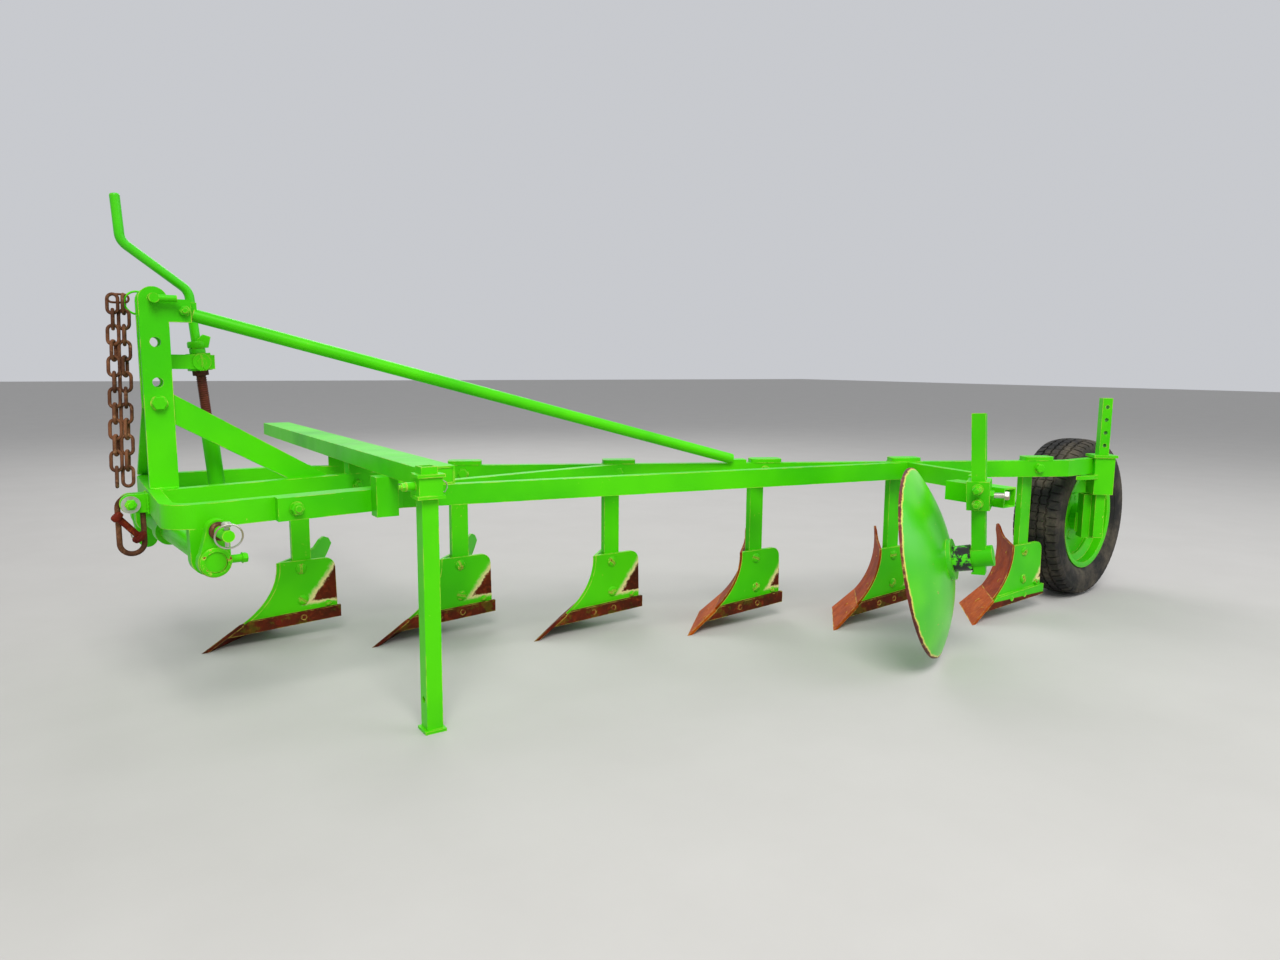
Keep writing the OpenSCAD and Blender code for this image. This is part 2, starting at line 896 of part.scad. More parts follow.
// A closed link in the x-z plane, centred, with straight sides of the given length.
wire_sides = 5;
end_steps = 4;
module link(wire, inner, straight) {
    r = inner + wire / 2;
    // Columns: x and z on the wire's middle line, direction outwards.
    line = [for (end = [0, 1], i = [0:end_steps])
        let (a = 180 * (end + i / end_steps))
        [r * cos(a), r * sin(a) + (0.5 - end) * straight, a]];
    count = len(line);
    points = [for (p = line, i = [0:wire_sides - 1])
        let (b = 360 * i / wire_sides, out = wire / 2 * cos(b))
        [p[0] + out * cos(p[2]), wire / 2 * sin(b), p[1] + out * sin(p[2])]];
    faces = [for (i = [0:count - 1], j = [0:wire_sides - 1])
        let (next = (i + 1) % count * wire_sides, turn = (j + 1) % wire_sides)
        [i * wire_sides + j, next + j, next + turn, i * wire_sides + turn]];
    polyhedron(points, faces);
}

link_wire = 9;
link_in = 8.5;
link_pitch = 42;
link_slack = 0.8;
strand_gap = 25.6;
chain_from = [-18, 63, 1096];
chain_to = [-42, -31, 592];
module chain() {
    run = chain_to - chain_from;
    count = floor(norm(run) / link_pitch);
    straight = link_pitch + link_slack - 2 * link_in;
    color(rust)
        placed() {
            for (strand = [0, 1])
                translate(chain_from - [strand * strand_gap, 0, 0])
                    rotate([0, acos(run[2] / norm(run)), atan2(run[1], run[0])])
                        for (i = [0:count - 1])
                            translate([0, 0, (i + 0.5) * link_pitch])
                                rotate([0, 0, (i + strand) % 2 * 90])
                                    link(link_wire, link_in, straight);
            translate([clevis_x, clevis_y, clevis_z + clevis_pin_d / 2 - bow_in - bow_l / 2])
                link(bow_wire, bow_in, bow_l);
        }
}

// Bodies

module at_tip(k) {
    t = tip(k);
    placed()
        translate([t[0], t[1], 0])
            children();
}

module round_rect(l, w, r) {
    translate([r, 0])
        square([l - 2 * r, w]);
    translate([0, r])
        square([l, w - 2 * r]);
    for (x = [r, l - r], y = [r, w - r])
        translate([x, y])
            circle(r = r);
}

module leg(k) {
    fall = furrow_w / body_step;
    color(green)
        at_tip(k) {
            translate([leg_set, leg_face, leg_low])
                cube([leg_w, leg_t, frame_top - leg_low]);
            if (k > 0) {
                translate([leg_set, leg_face, frame_low])
                    linear_extrude(bar_h)
                        polygon([[0, 0], [leg_w, -leg_w * fall], [leg_w, 0]]);
                translate([leg_set - 4, leg_face, frame_top])
                    rotate([0, 0, beam_yaw])
                        translate([-4, -bar_t, 0])
                            linear_extrude(cap_t)
                                round_rect(cap_l, 2 * bar_t, 14);
            }
        }
}

// Along the cutting edge: x runs along the edge, -y to the land side and the rear.
module cut_frame() {
    translate([0, landside_face, 0])
        rotate([0, 0, cut_angle])
            children();
}

function cut_x(n, y) = (n + (y - landside_face) * cos(cut_angle)) / sin(cut_angle);

// Everything ahead of the mouldboard's back and of the share's underside.
module swept() {
    cut_frame() {
        translate([-700, -mould_n, mould_z])
            rotate([0, 90, 0])
                cylinder(r = mould_r + mould_t, h = 1400, $fn = 180);
        rotate([-share_pitch, 0, 0])
            translate([-700, -share_w, -share_t])
                cube([1400, share_w + 400, 500]);
    }
}

frog_t = 12;
plate_slant = 4;
module landside(k) {
    nose_low = landside_low - 22;
    color(green)
        at_tip(k)
            difference() {
                union() {
                    plate_y(plate_face, plate_t)
                        difference() {
                            polygon([[60, nose_low + 14], [plate_rear, landside_low + 20],
                                [plate_rear - plate_slant, plate_top], [120, plate_top]]);
                            translate([plate_rear - plate_slant - plate_round, plate_top - plate_round])
                                difference() {
                                    square(2 * plate_round);
                                    circle(r = plate_round);
                                }
                        }
                    for (z = [plate_top - 150, plate_top - 50])
                        translate([0, 0, z])
                            linear_extrude(frog_t)
                                polygon([[120, leg_face], [leg_set, leg_face],
                                    [leg_set, leg_face + leg_t],
                                    [leg_set + leg_w, leg_face + leg_t],
                                    [leg_set + leg_w, leg_face], [leg_set + leg_w + 14, leg_face],
                                    [leg_set + leg_w + 14, leg_face + 100],
                                    [120, leg_face + 100]]);
                    plate_y(landside_face, landside_t)
                        polygon([[30, nose_low], [landside_rear, landside_low],
                            [landside_rear, landside_low + landside_h],
                            [30, nose_low + landside_h]]);
                }
                swept();
            }
}

module mouldboard(k) {
    back_s = cut_x(share_run, share_back) * cos(cut_angle)
        + (share_back - landside_face) * sin(cut_angle);
    shin_top = plate_top - 2;
    color(k < 3 ? green : rust)
        at_tip(k)
            intersection() {
                cut_frame()
                    intersection() {
                        translate([-100, -mould_n, mould_z])
                            rotate([0, 90, 0])
                                difference() {
                                    cylinder(r = mould_r + mould_t, h = 700, $fn = 180);
                                    translate([0, 0, -1])
                                        cylinder(r = mould_r, h = 702, $fn = 180);
                                }
                        rotate([-share_pitch, 0, 0])
                            translate([-100, -share_w - 500, -100])
                                cube([700, 500, 800]);
                        plate_y(-500, 500)
                            polygon([[-90, 0], [back_s - 50, 0], [back_s, share_rise],
                                [mould_tail, mould_top - 32], [mould_tail - 14, mould_top - 10],
                                [mould_tail - 41, mould_top], [mould_tail - 70, mould_top - 6],
                                [mould_tail - 105, mould_top - 25],
                                [mould_tail - 150, mould_top - 34], [100, shin_top],
                                [-90, shin_top]]);
                    }
                translate([-200, plate_face, 0])
                    cube([900, 700, 500]);
            }
}

module share(k) {
    color(rust)
        at_tip(k)
            intersection() {
                cut_frame()
                    rotate([-share_pitch, 0, 0])
                        translate([-100, -share_w, -share_t])
                            cube([700, share_w, share_t]);
                linear_extrude(200)
                    polygon([[cut_x(-4, landside_face), landside_face],
                        [cut_x(-4, share_wing), share_wing], [cut_x(share_run, share_back), share_back],
                        [cut_x(share_run + 40, share_back), share_back],
                        [cut_x(share_run + 40, landside_face), landside_face]]);
            }
}

// Disc coulter

disc_x = 2058;
disc_y = -955;
disc_z = 318;
axle_d = 30;
shank_out = 161;
shank_lean = 5.2;
hub_d = 80;
hub_flange_d = 128;
hub_clear = 6;
axle_boss_d = 64;
axle_boss_out = 22;
hub_face = shank_out - shank_side / 2;
shell_r = (pow(disc_d / 2, 2) + pow(dish, 2)) / (2 * dish);
shank_foot = 52;

// z runs along the disc's axle, from the disc to the shank.
module disc_frame() {
    placed()
        translate([disc_x, disc_y, disc_z])
            rotate([0, 90 - disc_tilt, disc_yaw - 90])
                children();
}

axle_dir = [sin(disc_yaw) * cos(disc_tilt), -cos(disc_yaw) * cos(disc_tilt), sin(disc_tilt)];
shank_at = [disc_x, disc_y, disc_z] + shank_out * axle_dir;

// z runs up the shank, from the height of the axle.
module shank_frame() {
    placed()
        translate(shank_at)
            rotate([0, -shank_lean, 0])
                rotate([0, 0, disc_yaw])
                    children();
}

module coulter_disc() {
    color(grey)
        disc_frame()
            difference() {
                union() {
                    intersection() {
                        translate([0, 0, dish - shell_r])
                            difference() {
                                sphere(r = shell_r, $fn = 200);
                                sphere(r = shell_r - disc_t, $fn = 200);
                            }
                        translate([0, 0, -20])
                            cylinder(d = disc_d, h = 200, $fn = 160);
                    }
                    translate([0, 0, dish - disc_t / 2 - 1])
                        cylinder(d = hub_flange_d, h = 14);
                    translate([0, 0, dish - 14])
                        cylinder(d = hub_d, h = hub_face - dish + 14 - 0.4);
                }
                cylinder(d = axle_d + 2 * run_gap, h = 400, center = true);
            }
}

module coulter_shank() {
    top = (shank_top - shank_at[2]) / cos(shank_lean);
    color(green)
        difference() {
            union() {
                difference() {
                    shank_frame()
                        translate([-shank_side / 2, -shank_side / 2, -shank_foot])
                            cube([shank_side, shank_side, top + shank_foot]);
                    disc_frame()
                        cylinder(d = hub_d + 2 * hub_clear, h = hub_face);
                }
                disc_frame()
                    translate([0, 0, hub_face])
                        cylinder(d = axle_boss_d, h = shank_side + axle_boss_out);
                disc_frame()
                    translate([0, 0, dish - 10])
                        cylinder(d = axle_d, h = hub_face - dish + 20);
            }
            shank_frame()
                translate([-60, -60, top - 10])
                    rotate([0, 10, 0])
                        cube([140, 120, 60]);
        }
}

clamp_low = 152;
clamp_h = 88;
clamp_wall = 13;
clamp_bolt_d = 30;
clamp_bolt_l = 16;
clamp_bolt_in = 22;
module clamp_solid() {
    out = shank_side + 2 * clamp_wall;
    shank_frame()
        translate([-out / 2, -out / 2, clamp_low])
            cube([out, out, clamp_h]);
}

module coulter_sleeve() {
    hole = shank_side + 2 * slide_gap;
    color(green)
        difference() {
            union() {
                clamp_solid();
                shank_frame()
                    for (z = [clamp_low + clamp_bolt_in, clamp_low + clamp_h - clamp_bolt_in])
                        translate([-shank_side / 2 - clamp_wall, 0, z])
                            rotate([0, -90, 0])
                                cylinder(d = clamp_bolt_d, h = clamp_bolt_l);
            }
            shank_frame()
                translate([-hole / 2, -hole / 2, 0])
                    cube([hole, hole, 400]);
        }
}

arm_x = 2186;
arm_far = -942;
arm_low = frame_low - 17;
strap_t = 25;
// The strap runs from the side beam over its elbow to the square tube.
arm_root_x = 2362;
elbow = [2304, -950];
arm_strap_y = -1010;
module coulter_arm() {
    p2 = side_bend;
    root = meet(p2, side_yaw, [arm_root_x, 0], 90);
    end = [arm_x, arm_strap_y];
    color(green)
        difference() {
            union() {
                placed()
                    translate([arm_x, arm_near, arm_low + arm_side / 2])
                        rotate([-90, 0, 0])
                            square_tube(arm_side, tube_wall, arm_far - arm_near);
                placed()
                    difference() {
                        bar(strap_outline(root, elbow, end));
                        translate([arm_x - arm_side / 2, arm_near, 0])
                            cube([arm_side, arm_far - arm_near, 1000]);
                        beyond(p2, side_yaw);
                    }
            }
            clamp_solid();
        }
}

// Outline of a flat bar on edge whose centre line runs through three points.
function strap_outline(p, q, r) =
    let (a = atan2(q[1] - p[1], q[0] - p[0]), b = atan2(r[1] - q[1], r[0] - q[0]), h = strap_t / 2)
    [side(p, a, h), meet(side(p, a, h), a, side(r, b, h), b), side(r, b, h),
        side(r, b, -h), meet(side(p, a, -h), a, side(r, b, -h), b), side(p, a, -h)];

// Rear wheel

module post_frame() {
    placed()
        translate([post_x, post_y, 0])
            rotate([0, 0, post_yaw])
                children();
}

// y runs along the axle, from the post to the wheel.
module wheel_frame() {
    placed()
        translate([wheel_x, wheel_y, tyre_r])
            rotate([0, 0, wheel_yaw])
                children();
}

rail_w = 160;
rail_reach = 27;
rail_t = 14;
rail_low = 508;
cap_rim = 7;
cap_rim_h = 10;
module wheel_collar() {
    rail_r = (pow(rail_w / 2, 2) + pow(rail_reach, 2)) / (2 * rail_reach);
    color(green) {
        difference() {
            placed()
                union() {
                    collar_block();
                    translate([0, 0, collar_top - collar_low - cap_rim_h])
                        intersection() {
                            collar_block(cap_rim);
                            translate([post_x - collar_side, post_y - collar_side, collar_low])
                                cube([2 * collar_side, 2 * collar_side, cap_rim_h]);
                        }
                    intersection() {
                        translate([post_x - 70, kink_near[1] + rail_r - rail_reach, rail_low])
                            cylinder(r = rail_r, h = rail_t, $fn = 120);
                        translate([post_x - 2 * rail_w, kink_near[1] - rail_w, rail_low - 1])
                            cube([4 * rail_w, rail_w, rail_t + 2]);
                    }
                }
            post_frame()
                translate([-post_side / 2 - slide_gap, -post_side / 2 - slide_gap, 0])
                    cube([post_side + 2 * slide_gap, post_side + 2 * slide_gap, 1000]);
        }
    }
}

post_low = 275;
hole_pitch = 49;
hub_tube = 54;
axle_from = -92;
stub_axle_d = 38;
hub_in = -6;
hub_tube_low = 267;
hub_tube_h = 172;
axle_plate_t = 16;
axle_plate_h = 76;
axle_plate_l = 138;
post_hole_d = 15;
post_hole_in = 34;
module wheel_post() {
    color(green)
        difference() {
            union() {
                post_frame()
                    translate([-post_side / 2, -post_side / 2, post_low])
                        cube([post_side, post_side, post_top - post_low]);
                post_frame()
                    translate([-20, post_side / 2 + hub_tube / 2, hub_tube_low])
                        square_tube(hub_tube, tube_wall + 1, hub_tube_h);
                wheel_frame()
                    translate([-axle_plate_l, axle_from - axle_plate_t / 2, -axle_plate_h / 2])
                        cube([axle_plate_l, axle_plate_t, axle_plate_h]);
                wheel_frame()
                    along_shaft(axle_from - axle_plate_t / 2, axle_plate_h, axle_plate_t);
                wheel_frame()
                    along_shaft(axle_from, stub_axle_d, hub_in - axle_from - 2);
            }
            for (i = [0:4])
                post_frame()
                    translate([0, 0, post_top - post_hole_in - i * hole_pitch])
                        rotate([90, 0, 0])
                            cylinder(d = post_hole_d, h = 2 * post_side + 28, center = true);
        }
}

flange_r = rim_r + 15;
drop_r = rim_r - 24;
rim_t = 5;
wheel_hub_d = 112;
wheel_hub_l = 62;
wheel_disc_t = 8;
module wheel_rim() {
    h = rim_w / 2;
    // Outline of the rim: from the left flange over the seats and the well to the right one.
    outer = [[flange_r, -h], [flange_r, -h + 6], [rim_r, -h + 8], [rim_r, -h + 34], [drop_r, -h + 50],
        [drop_r, h - 50], [rim_r, h - 34], [rim_r, h - 8], [flange_r, h - 6], [flange_r, h]];
    inner = [[rim_r + 4, h], [rim_r - rim_t, h - 4], [rim_r - rim_t, h - 36], [drop_r - rim_t, h - 52],
        [drop_r - rim_t, -h + 52], [rim_r - rim_t, -h + 36], [rim_r - rim_t, -h + 4], [rim_r + 4, -h]];
    color(green)
        wheel_frame()
            rotate([-90, 0, 0])
                difference() {
                    union() {
                        rotate_extrude($fn = 120)
                            polygon(concat(outer, inner));
                        translate([0, 0, hub_in - wheel_disc_t])
                            cylinder(r = drop_r - 2, h = wheel_disc_t, $fn = 120);
                        translate([0, 0, -wheel_hub_l])
                            cylinder(d = wheel_hub_d, h = wheel_hub_l + hub_in);
                    }
                    translate([0, 0, -200])
                        cylinder(d = stub_axle_d + 2 * run_gap, h = 200 + hub_in - 1.6);
                }
}

module tyre() {
    h = tyre_w / 2;
    bead = rim_w / 2 - 8;
    // Columns: radius, half width.
    half = [[rim_r, bead], [flange_r + 1, bead + 1], [(rim_r + tyre_r) / 2, h],
        [tyre_r - 14, h - 12], [tyre_r, h - shoulder_in]];
    color(black)
        wheel_frame()
            rotate([-90, 0, 0])
                rotate_extrude($fn = 120)
                    polygon(concat([for (p = half) [p[0], -p[1]]],
                        [for (i = [len(half) - 1:-1:0]) half[i]]));
}

front_bar();
middle_bar();
side_beam();
main_beam();
cross_beam();
beam_brackets();
leg_sleeve();
parking_leg();
left_upright();
right_upright();
strut();
top_stay();
top_pin();
shaft_bearings();
cross_shaft();
left_crank();
right_crank();
screw_bracket();
trunnion();
screw();
screw_tube();
clevis();
chain();
leg(0);  // leg_1
leg(1);  // leg_2
leg(2);  // leg_3
leg(3);  // leg_4
leg(4);  // leg_5
leg(5);  // leg_6
landside(0);  // landside_1
landside(1);  // landside_2
landside(2);  // landside_3
landside(3);  // landside_4
landside(4);  // landside_5
landside(5);  // landside_6
mouldboard(0);  // mouldboard_1
mouldboard(1);  // mouldboard_2
mouldboard(2);  // mouldboard_3
mouldboard(3);  // mouldboard_4
mouldboard(4);  // mouldboard_5
mouldboard(5);  // mouldboard_6
share(0);  // share_1
share(1);  // share_2
share(2);  // share_3
share(3);  // share_4
share(4);  // share_5
share(5);  // share_6
coulter_arm();
coulter_sleeve();
coulter_shank();
coulter_disc();
wheel_collar();
wheel_post();
wheel_rim();
tyre();
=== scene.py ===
import math

import bmesh
import bpy
from mathutils import Matrix, Vector


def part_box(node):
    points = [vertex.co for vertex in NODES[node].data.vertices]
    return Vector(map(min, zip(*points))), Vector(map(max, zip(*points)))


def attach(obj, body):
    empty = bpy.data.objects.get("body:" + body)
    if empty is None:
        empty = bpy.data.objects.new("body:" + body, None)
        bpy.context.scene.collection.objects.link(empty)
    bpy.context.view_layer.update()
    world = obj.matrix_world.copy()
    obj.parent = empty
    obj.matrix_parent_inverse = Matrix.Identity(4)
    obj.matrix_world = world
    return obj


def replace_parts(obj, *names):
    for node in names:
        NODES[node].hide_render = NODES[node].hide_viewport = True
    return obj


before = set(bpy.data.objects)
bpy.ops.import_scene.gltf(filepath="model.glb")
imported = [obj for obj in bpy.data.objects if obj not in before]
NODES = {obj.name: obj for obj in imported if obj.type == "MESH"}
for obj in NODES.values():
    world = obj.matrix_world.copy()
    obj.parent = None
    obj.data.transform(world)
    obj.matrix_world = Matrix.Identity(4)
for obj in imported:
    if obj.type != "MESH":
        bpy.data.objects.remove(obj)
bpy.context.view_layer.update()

MM = 0.001

# Layout of the plough, in millimetres and degrees: x to the rear from the front bar's front face,
# y to the right from the hitch's middle, z up from the ground. Two known edges tie it to the frame.
CROSS_RIGHT = 1218
MID_X = -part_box("front_bar")[0].x * 1000
MID_Y = CROSS_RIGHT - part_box("cross_beam")[1].y * 1000

# Bodies, counted from 0: each stands one step to the rear and one furrow to the left of the last.
BODIES = range(6)
LAST_BODY = 5
FIRST_WORN = 3
BODY_STEP = 474
FURROW = 228
FIRST_TIP = (148, 335)
# Measured from a body's share point: leg's front edge, land plate's face and rear edge, and the
# landside bar's face.
LEG_SET = 293
PLATE_FACE = -4
PLATE_REAR = 433
LANDSIDE_FACE = PLATE_FACE - 12

# Underside of the frame's bars, turn of the main beam.
FRAME_LOW = 525
BEAM_YAW = -math.degrees(math.atan2(FURROW, BODY_STEP))

# Middle of the cross shaft; the crank screw's place along it, lean and distance from its axis.
SHAFT = (63, 0, 450)
SHAFT_YAW = 5.3
SCREW_Y = 78
SCREW_LEAN = 4.8
LEVER = 143

# Middles of the depth wheel and of the coulter's dish; the shank's place along the disc's axle.
WHEEL = (3282, -722, 321)
WHEEL_YAW = 5.7
DISC = (2058, -955, 318)
DISC_YAW = 28.3
DISC_TILT = 12
SHANK_OUT = 161
SHANK_LEAN = 5.2


def at(x, y, z):
    """A point of the layout in the frame, in metres."""
    return Vector(((x - MID_X) / 1000, (y - MID_Y) / 1000, z / 1000))


def tip(k):
    """Share point of body k in the layout."""
    return FIRST_TIP[0] + k * BODY_STEP, FIRST_TIP[1] - k * FURROW


def on_body(k, x, y, z):
    """A point measured from the share point of body k."""
    tx, ty = tip(k)
    return at(tx + x, ty + y, z)


def spot(matrix, x, y, z):
    """A point given in millimetres along a matrix's own axes."""
    return matrix @ (Vector((x, y, z)) * MM)


def place(origin, z_axis):
    """A matrix at origin with its z along z_axis."""
    z = Vector(z_axis).normalized()
    x = Vector((1, 0, 0)) - z.x * z
    if x.length < 1e-6:
        x = Vector((0, 1, 0)) - z.y * z
    x.normalize()
    y = z.cross(x)
    m = Matrix((x, y, z)).transposed().to_4x4()
    m.translation = origin
    return m


def turned(rx=0, ry=0, rz=0):
    """Turns in degrees about x, then y, then z."""
    return (Matrix.Rotation(math.radians(rz), 4, "Z")
            @ Matrix.Rotation(math.radians(ry), 4, "Y")
            @ Matrix.Rotation(math.radians(rx), 4, "X"))


def shift(x, y, z):
    """A move in millimetres."""
    return Matrix.Translation(Vector((x, y, z)) * MM)


# Axes of the layout, the cross shaft, the screw (z along it), the wheel (y along its axle), the disc
# (z along its axle) and the coulter's shank (z along it).
LAYOUT_M = Matrix.Translation(at(0, 0, 0))
SHAFT_M = Matrix.Translation(at(*SHAFT)) @ turned(rz=SHAFT_YAW)
SCREW_M = SHAFT_M @ shift(0, SCREW_Y, 0) @ turned(ry=-SCREW_LEAN)
WHEEL_M = Matrix.Translation(at(*WHEEL)) @ turned(rz=WHEEL_YAW)
DISC_M = Matrix.Translation(at(*DISC)) @ turned(ry=90 - DISC_TILT, rz=DISC_YAW - 90)
SHANK_AT = (DISC_M @ shift(0, 0, SHANK_OUT)).translation
SHANK_M = Matrix.Translation(SHANK_AT) @ turned(ry=-SHANK_LEAN) @ turned(rz=DISC_YAW)

# Camera: eye in the layout, heading and pitch in degrees, roll in radians, focal length in the
# photograph's pixels.
EYE = (-209, -2688, 930)
HEADING = 34.156
PITCH = 7.58
ROLL = 0.009
FOCAL_PX = 875.3
IMAGE_W = 1280
SENSOR = 36


def make_camera():
    h = math.radians(HEADING)
    p = math.radians(PITCH)
    look = Vector((math.sin(h) * math.cos(p), math.cos(h) * math.cos(p), -math.sin(p)))
    level = Vector((math.cos(h), -math.sin(h), 0))
    up = level.cross(look)
    right = level * math.cos(ROLL) + up * math.sin(ROLL)
    up = up * math.cos(ROLL) - level * math.sin(ROLL)
    data = bpy.data.cameras.new("camera")
    data.sensor_width = SENSOR
    data.lens = FOCAL_PX / IMAGE_W * SENSOR
    cam = bpy.data.objects.new("camera", data)
    m = Matrix((right, up, -look)).transposed().to_4x4()
    m.translation = at(*EYE)
    cam.matrix_world = m
    bpy.context.scene.collection.objects.link(cam)
    bpy.context.scene.camera = cam


make_camera()


# Materials


def srgb(r, g, b):
    """A colour given as 0-255 display values."""
    def part(v):
        v /= 255
        return v / 12.92 if v <= 0.04045 else ((v + 0.055) / 1.055) ** 2.4
    return part(r), part(g), part(b), 1.0


LIME = srgb(78, 210, 2)
DISC_LIME = srgb(104, 224, 2)
DEEP_GREEN = srgb(54, 184, 4)
PALE_GREEN = srgb(140, 222, 40)
# Pale yellow of worn, faded paint; on edges it is partly painted highlight.
PALE_WEAR_AND_HIGHLIGHT = srgb(226, 212, 96)
CREAM = srgb(230, 216, 150)
DUST = srgb(176, 160, 132)
ZINC = srgb(196, 196, 186)
RUBBER = srgb(27, 27, 26)
HUB_BLACK = srgb(24, 30, 24)
RUST_BROWN = srgb(112, 34, 16)
# Rusts, each as a dark, a middle and a bright tone.
PLAIN_RUST = (srgb(70, 16, 10), RUST_BROWN, srgb(168, 78, 30))
CHAIN_RUST = (srgb(70, 42, 28), srgb(118, 76, 50), srgb(172, 126, 92))
SHARE_RUST = (srgb(66, 16, 8), srgb(112, 34, 14), srgb(158, 72, 30))
FLUSH_HEAD_RUST = (srgb(66, 16, 8), srgb(112, 34, 14), srgb(168, 84, 44))
WORN_SHARE_RUST = (srgb(146, 54, 4), srgb(182, 82, 14), srgb(206, 118, 42))
BOARD_RUST = (srgb(122, 40, 2), srgb(156, 60, 5), srgb(184, 88, 18))
PLATE_RUST = (srgb(62, 12, 8), srgb(98, 22, 12), srgb(136, 48, 22))
SCREW_RUST = (srgb(58, 22, 16), srgb(96, 40, 26), srgb(132, 66, 42))
# Strength of the mirror-like shine; tint of the paint's.
PAINT_SHINE = 0.28
RUST_SHINE = 0.12
DISC_SHINE = 0.5
GREEN_SHEEN = (0.75, 1.0, 0.45, 1.0)


class Shader:
    """A material under construction, with short calls for its nodes. Lengths are in metres."""

    def __init__(self, name, shine=PAINT_SHINE):
        self.mat = bpy.data.materials.new(name)
        self.mat.use_nodes = True
        self.tree = self.mat.node_tree
        self.tree.nodes.clear()
        self.out = self.add("ShaderNodeOutputMaterial")
        self.bsdf = self.add("ShaderNodeBsdfPrincipled")
        self.bsdf.inputs["Specular IOR Level"].default_value = shine
        self.link(self.bsdf.outputs[0], self.out.inputs[0])
        self.coords = self.add("ShaderNodeTexCoord").outputs["Object"]

    def add(self, kind, **props):
        node = self.tree.nodes.new(kind)
        for key, value in props.items():
            setattr(node, key, value)
        return node

    def link(self, a, b):
        self.tree.links.new(a, b)

    def feed(self, socket, value):
        """Gives a socket a fixed value or another node's output."""
        if isinstance(value, bpy.types.NodeSocket):
            self.link(value, socket)
        else:
            socket.default_value = value

    def math(self, op, a, b):
        n = self.add("ShaderNodeMath", operation=op)
        self.feed(n.inputs[0], a)
        self.feed(n.inputs[1], b)
        return n.outputs[0]

    def plus(self, a, b):
        return self.math("ADD", a, b)

    def minus(self, a, b):
        return self.math("SUBTRACT", a, b)

    def times(self, a, b):
        return self.math("MULTIPLY", a, b)

    def larger(self, a, b):
        return self.math("MAXIMUM", a, b)

    def below(self, a, limit):
        """1 where a is below the limit, else 0."""
        return self.math("LESS_THAN", a, limit)

    def dot(self, a, b):
        n = self.add("ShaderNodeVectorMath", operation="DOT_PRODUCT")
        self.feed(n.inputs[0], a)
        self.feed(n.inputs[1], b)
        return n.outputs["Value"]

    def mix(self, fac, a, b):
        """Colour a where fac is 0, colour b where it is 1."""
        n = self.add("ShaderNodeMix", data_type="RGBA")
        self.feed(n.inputs["Factor"], fac)
        self.feed(n.inputs[6], a)
        self.feed(n.inputs[7], b)
        return n.outputs[2]

    def ramp(self, fac, low, high):
        """0 below low, 1 above high."""
        n = self.add("ShaderNodeMapRange", clamp=True, interpolation_type="SMOOTHSTEP")
        self.feed(n.inputs["Value"], fac)
        n.inputs["From Min"].default_value = low
        n.inputs["From Max"].default_value = high
        return n.outputs["Result"]

    def noise(self, scale, detail=6, rough=0.6):
        n = self.add("ShaderNodeTexNoise")
        self.link(self.coords, n.inputs["Vector"])
        n.inputs["Scale"].default_value = scale
        n.inputs["Detail"].default_value = detail
        n.inputs["Roughness"].default_value = rough
        return n.outputs["Fac"]

    def patches(self, low, high, scale, detail=6, rough=0.6):
        """Ragged patches: 0 where a noise is below low, 1 where it is above high."""
        return self.ramp(self.noise(scale, detail, rough), low, high)

    def uneven(self, low, spread, scale, detail=6):
        """A value that wanders from low upwards by up to spread."""
        return self.plus(self.times(self.noise(scale, detail), spread), low)

    def axis(self, which, vector=None):
        n = self.add("ShaderNodeSeparateXYZ")
        self.link(vector or self.coords, n.inputs[0])
        return n.outputs[which]

    def moved(self, origin):
        """Coordinates measured from a point of the frame."""
        n = self.add("ShaderNodeVectorMath", operation="SUBTRACT")
        self.link(self.coords, n.inputs[0])
        n.inputs[1].default_value = origin
        return n.outputs[0]

    def edges(self, radius=0.004):
        """1 on convex edges and in corners, 0 on flats."""
        bevel = self.add("ShaderNodeBevel", samples=4)
        bevel.inputs["Radius"].default_value = radius
        normal = self.add("ShaderNodeNewGeometry").outputs["Normal"]
        return self.ramp(self.minus(1.0, self.dot(bevel.outputs[0], normal)), 0.02, 0.25)

    def bump(self, height, strength, distance=0.002):
        n = self.add("ShaderNodeBump")
        n.inputs["Strength"].default_value = strength
        n.inputs["Distance"].default_value = distance
        self.feed(n.inputs["Height"], height)
        self.link(n.outputs[0], self.bsdf.inputs["Normal"])

    def finish(self, colour, rough, metallic=0.0):
        self.feed(self.bsdf.inputs["Base Color"], colour)
        self.feed(self.bsdf.inputs["Roughness"], rough)
        self.feed(self.bsdf.inputs["Metallic"], metallic)
        return self.mat


def green_colour(s, wear_and_highlight, light=LIME):
    """Sprayed green with darker patches, fading, pale specks and pale edges (worn paint, and on the
    edges painted highlight) and chips; returns its colour and its chips.
    """
    tone = s.mix(s.patches(0.35, 0.7, 2.2, 3), light, DEEP_GREEN)
    faded = s.times(s.patches(0.62, 0.8, 9, 8, 0.7), 0.35)
    tone = s.mix(faded, tone, PALE_GREEN)
    edge = s.edges()
    specks = s.noise(70, 8, 0.7)
    # Pale yellow edges and specks: the specks are worn paint, the edges partly worn paint and partly
    # painted highlight.
    pale = s.times(edge, s.patches(0.44 - wear_and_highlight, 0.58 - wear_and_highlight, 17, 6, 0.7))
    pale = s.larger(pale, s.ramp(specks, 0.69 - wear_and_highlight, 0.72 - wear_and_highlight))
    tone = s.mix(s.times(pale, 0.75), tone, PALE_WEAR_AND_HIGHLIGHT)
    worn_edge = s.times(edge, s.patches(0.60 - wear_and_highlight, 0.70, 24, 6, 0.7))
    chips = s.larger(s.ramp(specks, 0.72 - wear_and_highlight, 0.76 - wear_and_highlight), worn_edge)
    return s.mix(chips, tone, RUST_BROWN), chips


